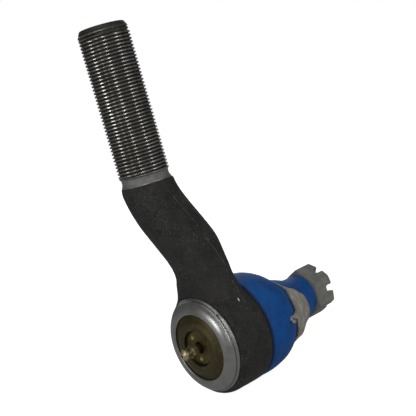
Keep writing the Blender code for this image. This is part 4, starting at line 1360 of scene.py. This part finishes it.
@dataclass
class DustBoot:
    """The bell-shaped rubber boot, from the housing's land to the nut."""

    base_y: float = 0.0081
    top_y: float = 0.0682
    wall: float = 0.0024
    land: float = 0.0253
    land_height: float = 0.0034
    seal_y: float = 0.0600
    taper_y: float = 0.0260
    outside: Outline = field(default_factory=lambda: [
        (0.0132, 0.0682), (0.0134, 0.0672), (0.0141, 0.0642), (0.0152, 0.0604), (0.0166, 0.0566),
        (0.0181, 0.0528), (0.0194, 0.0492), (0.0205, 0.0458), (0.0214, 0.0425), (0.0222, 0.0397),
        (0.0232, 0.0374), (0.0249, 0.0354), (0.0271, 0.0330), (0.0290, 0.0296), (0.0305, 0.0255),
        (0.0315, 0.0205), (0.0319, 0.0155), (0.0318, 0.0106), (0.0316, 0.0087)])

    def outer_radius(self, y: float) -> float:
        """The boot's outer radius at y."""
        radii, heights = zip(*reversed(self.outside))
        return float(np.interp(y, heights, radii))

    @staticmethod
    def sag(height: np.ndarray, turn: np.ndarray) -> np.ndarray:
        """How far the skin stands in from round: the slack neck hangs low and dips on top."""
        up, top = np.sin(turn), np.clip(np.sin(turn), 0.0, 1.0)
        hang = np.clip((height - 0.024) / 0.016, 0, 1) * np.clip((0.0672 - height) / 0.012, 0, 1)
        dip = np.clip((height - 0.036) / 0.018, 0, 1) * np.clip((0.067 - height) / 0.008, 0, 1)
        return 0.0016 * up * hang + 0.0010 * top ** 1.5 * dip

    def stud_radius(self, y: float) -> float:
        """The stud's radius at y, on its taper."""
        return 0.009525 + (0.0640 - max(y, self.taper_y)) / 16.0

    def outline(self) -> Outline:
        """The closed outline: outside, foot, then the inside up to the neck's ring."""
        lip = self.base_y + self.land_height
        foot = rounded([
            (0.0316, 0.0087), (0.0309, self.base_y), (self.land + 0.0015, self.base_y),
            (self.land + 0.0015, lip - 0.0010), (self.land, lip - 0.0006), (self.land, lip + 0.0016),
            (0.0288, lip + 0.0034), (0.0295, lip + 0.0060)], 0.0006, 4)
        inside = []
        for y in np.linspace(lip + 0.0062, self.seal_y - 0.0028, 22):
            skin = self.outer_radius(y + 0.0006) - self.wall
            inside.append((max(skin, self.stud_radius(y) + 0.0012), float(y)))
        seal = self.stud_radius(self.seal_y) + 0.0006
        ring = [(seal, self.seal_y - 0.0022), (seal, self.seal_y - 0.0018),
                (seal + 0.0012, self.seal_y - 0.0018), (seal + 0.0012, self.seal_y + 0.0018),
                (seal, self.seal_y + 0.0018), (0.0106, self.top_y)]
        return [*smooth_curve(self.outside, 4), *foot[1:], *inside, *ring]

    def build(self) -> bpy.types.Object:
        """Make the boot with its slight sag and uneven shoulder."""
        def slack(radius: np.ndarray, height: np.ndarray, turn: np.ndarray) -> tuple:
            """Low waves that grow from the foot to the shoulder and die at the neck's top."""
            span = np.clip((height - 0.014) / 0.018, 0, 1) * np.clip((0.064 - height) / 0.02, 0, 1)
            wave = 0.5 * np.sin(turn * 2 + 0.9) + 0.3 * np.sin(turn * 3 - 0.4)
            wave += 0.2 * np.sin(turn * 5 + height * 260.0)
            return radius + wave * span * 0.00030 - self.sag(height, turn), height

        item = turned("rubber_boot", self.outline(), 168, ring=True, shape=slack)
        smooth(item, 48.0)
        item.data.materials.append(BlueRubber("moulded_blue_rubber").material())
        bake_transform(item)
        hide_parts("dust_boot")
        LOG.info("%s: %d faces, bent from seat to stud_neck", item.name, len(item.data.polygons))
        return item


@dataclass
class BootBand:
    """The crumpled tan wrap round the boot's neck, with its twisted knot."""

    boot: DustBoot
    thickness: float = 0.0008
    steps: int = 220
    rows: int = 22
    edges: tuple = ((-180, 38.6, 44.2), (-120, 38.8, 46.6), (-90, 39.4, 48.6), (-60, 39.6, 50.4),
                    (-40, 38.8, 52.0), (-24, 38.0, 54.0), (-9, 37.4, 55.6), (8, 37.6, 54.8),
                    (22, 38.6, 52.0), (34, 40.6, 48.6), (42, 41.4, 44.6), (50, 40.2, 41.6),
                    (64, 38.8, 39.8), (90, 38.4, 39.4), (130, 38.4, 39.8), (180, 38.6, 44.2))
    knot: Colour = (0.0306, 0.0285, -0.0010)

    def wrap(self) -> bpy.types.Object:
        """The wrap itself: a thin closed sleeve between two wandering edges."""
        turn = np.linspace(-math.pi, math.pi, self.steps, endpoint=False)
        degrees = np.degrees(turn)
        places, low, high = (np.array(column, float) for column in zip(*self.edges))
        low = np.interp(degrees, places, low) * 0.001
        high = np.interp(degrees, places, high) * 0.001
        soft = np.hanning(9)
        soft /= soft.sum()
        low = np.convolve(np.pad(low, 4, "wrap"), soft, "valid")
        high = np.convolve(np.pad(high, 4, "wrap"), soft, "valid")
        ragged = np.sin(turn * 23.0) * 0.00014 + np.sin(turn * 41.0 + 1.0) * 0.00009
        low, high = low + ragged, high - ragged[::-1] * 0.8
        across = np.linspace(0.0, 1.0, self.rows)[:, None]
        y = low[None, :] * (1.0 - across) + high[None, :] * across
        skin = np.vectorize(self.boot.outer_radius)(y) - self.boot.sag(y, turn[None, :])
        folds = (np.sin(turn[None, :] * 9.0 + across * 5.0) + 0.6 * np.sin(turn[None, :] * 17.0
                 - across * 9.0) + 0.5 * np.sin(across * 14.0 + turn[None, :] * 4.0))
        bunch = np.clip(1.3 - (high - low) / 0.012, 0.15, 1.0)[None, :]
        narrow = np.clip((high - low - 0.0015) / 0.006, 0.0, 1.0)[None, :]
        lift = (0.00085 + 0.00030 * folds + 0.0006 * bunch * np.sin(math.pi * across)) * narrow
        foot = 0.0002 + 0.0003 * narrow
        under = skin + foot + np.maximum(lift - 0.0011, 0.0) * 0.5
        over = np.maximum(skin + foot + lift, under + 0.0003)
        edge = np.abs(across * 2.0 - 1.0) ** 6 * np.ones_like(y)
        return self.sleeve(turn, y, under, over, edge)

    def sleeve(self, turn: np.ndarray, y: np.ndarray, under: np.ndarray, over: np.ndarray,
               edge: np.ndarray) -> bpy.types.Object:
        """Close the two skins into one mesh and mark how near each point is to an edge."""
        rows, steps = y.shape
        radius = np.concatenate((over, under[::-1]))
        height = np.concatenate((y, y[::-1]))
        marks = np.concatenate((edge, edge[::-1]))
        angle = np.repeat(turn[None, :], rows * 2, 0)
        verts = np.stack((BALL[0] + radius * np.cos(angle), height,
                          BALL[2] + radius * np.sin(angle)), -1).reshape(-1, 3)
        faces = []
        for i in range(rows * 2):
            j = (i + 1) % (rows * 2)
            for k in range(steps):
                n = (k + 1) % steps
                faces.append((i * steps + k, i * steps + n, j * steps + n, j * steps + k))
        mesh = bpy.data.meshes.new("tan_wrap")
        mesh.from_pydata(verts.tolist(), [], faces)
        form = bmesh.new()
        form.from_mesh(mesh)
        bmesh.ops.recalc_face_normals(form, faces=form.faces)
        form.to_mesh(mesh)
        form.free()
        layer = mesh.attributes.new("edge", "FLOAT", "POINT")
        layer.data.foreach_set("value", marks.astype(np.float32).ravel())
        return new_object("tan_wrap", mesh)

    def twist(self) -> bpy.types.Object:
        """The knot: the wrap's two ends twisted together into a small loop and a stub."""
        centre = Vector((BALL[0] + self.knot[0], self.knot[1], BALL[2] + self.knot[2]))
        points = []
        for i in range(64):
            t = i / 63
            angle = 2.0 * math.pi * 1.55 * t + 0.6
            size = 0.0019 * (1.0 - 0.25 * t)
            points.append(centre + Vector((0.0009 * math.sin(angle * 2.0) + 0.0004,
                                           size * math.cos(angle) * 0.9 - 0.0012 * t + 0.0006,
                                           size * math.sin(angle) - 0.0006 * t)))
        tail = [centre + Vector(step) for step in (
            (-0.0068, 0.0096, 0.0012), (-0.0050, 0.0078, 0.0010), (-0.0028, 0.0052, 0.0014),
            (-0.0008, 0.0028, 0.0018))]
        curve = bpy.data.curves.new("tan_knot", "CURVE")
        curve.dimensions = "3D"
        curve.bevel_depth = 0.00078
        curve.bevel_resolution = 4
        curve.use_fill_caps = True
        spline = curve.splines.new("POLY")
        route = [*tail, *points]
        spline.points.add(len(route) - 1)
        for i, (place, point) in enumerate(zip(spline.points, route)):
            place.co = (*point, 1.0)
            place.radius = 0.85 + 0.30 * math.sin(i * 0.9) * (1.0 if i % 2 else 0.6)
        item = new_object("tan_knot", curve)
        graph = bpy.context.evaluated_depsgraph_get()
        mesh = bpy.data.meshes.new_from_object(item.evaluated_get(graph))
        bpy.data.objects.remove(item)
        outward(mesh)
        return new_object("tan_knot", mesh)

    def build(self) -> None:
        """Make the wrap and its knot."""
        finish = TanWrap("crumpled_tan_wrap")
        for item in (self.wrap(), self.twist()):
            smooth(item, 60.0)
            finish_piece(item, "stud_neck", ["boot_band"], finish)


@dataclass
class InnerPieces:
    """The CAD's own pieces that stay, each with its finish."""

    finishes: dict = field(default_factory=lambda: {
        "upper_seat": PlainMetal("ground_seat_steel", (0.45, 0.44, 0.43), 0.24),
        "pressure_seat": SeatPolymer("seat_polymer"),
        "seat_spring": PlainMetal("drawn_spring_wire", (0.16, 0.16, 0.17), 0.34),
        "fitting_spring": PlainMetal("drawn_spring_wire", (0.16, 0.16, 0.17), 0.34),
        "boot_base_ring": PlainMetal("dark_ring_wire", (0.13, 0.13, 0.13), 0.38),
        "boot_neck_ring": PlainMetal("dark_ring_wire", (0.13, 0.13, 0.13), 0.38),
        "fitting_ball": PlainMetal("polished_ball", (0.50, 0.49, 0.47), 0.16, 0.0005),
    })

    def dress(self) -> None:
        """Give each kept CAD piece its material."""
        for name, finish in self.finishes.items():
            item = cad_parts[name]
            item.data.materials.clear()
            item.data.materials.append(finish.material())
            LOG.info("%s keeps its CAD shape", name)


# ------------------------------------------------------------------ studio


@dataclass
class Studio:
    """Camera, pale floor and soft light."""

    azimuth: float = 50.40
    elevation: float = 6.865
    roll: float = -15.92
    lens: float = 82.2
    distance: float = 0.56536
    aim: Colour = (0.03493, 0.01233, -0.12109)
    floor_z: float = -0.2290
    world: float = 0.11

    def toward(self, azimuth: float, elevation: float) -> Vector:
        """The direction from the object to a place in the studio."""
        a, e = math.radians(azimuth), math.radians(elevation)
        return Vector((math.sin(a) * math.cos(e), -math.cos(a) * math.cos(e), math.sin(e)))

    def camera(self) -> None:
        """The camera, tilted about its own line of sight."""
        data = bpy.data.cameras.new("camera")
        data.lens = self.lens
        data.sensor_width = 36.0
        data.clip_start = 0.01
        item = bpy.data.objects.new("camera", data)
        bpy.context.scene.collection.objects.link(item)
        back = self.toward(self.azimuth, self.elevation)
        flat = Vector((math.cos(math.radians(self.azimuth)), math.sin(math.radians(self.azimuth)), 0.0))
        rise = back.cross(flat)
        turn = math.radians(self.roll)
        right = flat * math.cos(turn) + rise * math.sin(turn)
        up = rise * math.cos(turn) - flat * math.sin(turn)
        place = Matrix((right, up, back)).transposed().to_4x4()
        place.translation = Vector(self.aim) + back * self.distance
        item.matrix_world = place
        bpy.context.scene.camera = item

    def lamp(self, name: str, azimuth: float, elevation: float, far: float,
             size: tuple[float, float], power: float) -> None:
        """A soft area lamp that faces the object.

        Args:
            name: its name.
            azimuth: its bearing.
            elevation: its height above the horizon.
            far: its distance.
            size: width and height.
            power: watts.
        """
        data = bpy.data.lights.new(name, "AREA")
        data.shape = "RECTANGLE"
        data.size, data.size_y = size
        data.energy = power
        item = bpy.data.objects.new(name, data)
        bpy.context.scene.collection.objects.link(item)
        back = self.toward(azimuth, elevation)
        middle = Vector((0.02, 0.01, -0.13))
        item.location = middle + back * far
        item.rotation_mode = "QUATERNION"
        item.rotation_quaternion = back.to_track_quat("Z", "Y")

    def light(self) -> None:
        """Pale surroundings and the lamps."""
        world = bpy.data.worlds.new("studio")
        bpy.context.scene.world = world
        world.use_nodes = True
        tree = Tree(world.node_tree)
        for item in list(world.node_tree.nodes):
            world.node_tree.nodes.remove(item)
        seen = tree.node("ShaderNodeLightPath", out="Is Camera Ray")
        white = tree.node("ShaderNodeBackground", sockets={"Color": (1.0, 1.0, 1.0), "Strength": 1.0})
        soft = tree.node("ShaderNodeBackground", sockets={"Color": (0.96, 0.98, 1.0),
                                                          "Strength": self.world})
        both = tree.node("ShaderNodeMixShader", sockets={0: seen, 1: soft, 2: white})
        end = world.node_tree.nodes.new("ShaderNodeOutputWorld")
        tree.feed(end.inputs["Surface"], both)
        bpy.context.scene.view_settings.view_transform = "Standard"
        self.lamp("left_strip", self.azimuth - 36.0, 10.0, 1.5, (0.10, 2.0), 2.4)
        self.lamp("near_strip", self.azimuth - 3.0, 10.0, 1.5, (0.11, 2.0), 8.0)
        self.lamp("right_strip", self.azimuth + 56.0, 8.0, 1.5, (0.11, 2.0), 6.2)
        self.lamp("right_fill", self.azimuth + 72.0, 0.0, 1.5, (0.7, 0.9), 1.2)
        self.lamp("face_box", -17.0, 4.0, 1.5, (0.28, 0.20), 2.6)
        self.lamp("overhead", self.azimuth - 20.0, 66.0, 1.6, (1.2, 1.2), 2.8)
        self.lamp("back_fill", self.azimuth + 180.0, 24.0, 1.6, (1.2, 1.2), 5.0)

    def floor(self) -> None:
        """A pale round floor just below the object."""
        mesh = bpy.data.meshes.new("floor")
        form = bmesh.new()
        bmesh.ops.create_circle(form, cap_ends=True, segments=96, radius=6.0)
        form.transform(Matrix.Translation((0.0, 0.0, self.floor_z)))
        form.to_mesh(mesh)
        form.free()
        item = new_object("floor", mesh)
        material = bpy.data.materials.new("pale_floor")
        p = Paint(material)
        seen = p.node("ShaderNodeLightPath", out="Is Camera Ray")
        cloud = p.noise(0.6, 2.0, 0.5)
        pale = p.mix(cloud, (0.90, 0.90, 0.90), (0.93, 0.93, 0.93))
        p.finish(p.mix(seen, (0.20, 0.20, 0.20), pale), 0.85, 0.0, Emission_Strength=1.0,
                 Specular_IOR_Level=0.0)
        glow = p.mix(seen, (0.20, 0.20, 0.20), (0.92, 0.92, 0.92))
        p.feed(p.shader.inputs["Emission Color"], glow)
        mesh.materials.append(material)


def main() -> None:
    """Build each sub-assembly, then the studio."""
    logging.basicConfig(level=logging.INFO, format="%(message)s")
    thread, flats, slots = thread_tree(), hexagon_tree(), slot_tree()
    ThreadedStem().build(thread)
    Forging().build()
    FaceRing().build()
    Cover().build()
    GreaseFitting().build(flats)
    BallStud().build(thread)
    SlottedNut().build(flats, slots)
    boot = DustBoot()
    boot.build()
    BootBand(boot).build()
    InnerPieces().dress()
    studio = Studio()
    studio.camera()
    studio.light()
    studio.floor()


if __name__ == "__main__":
    main()
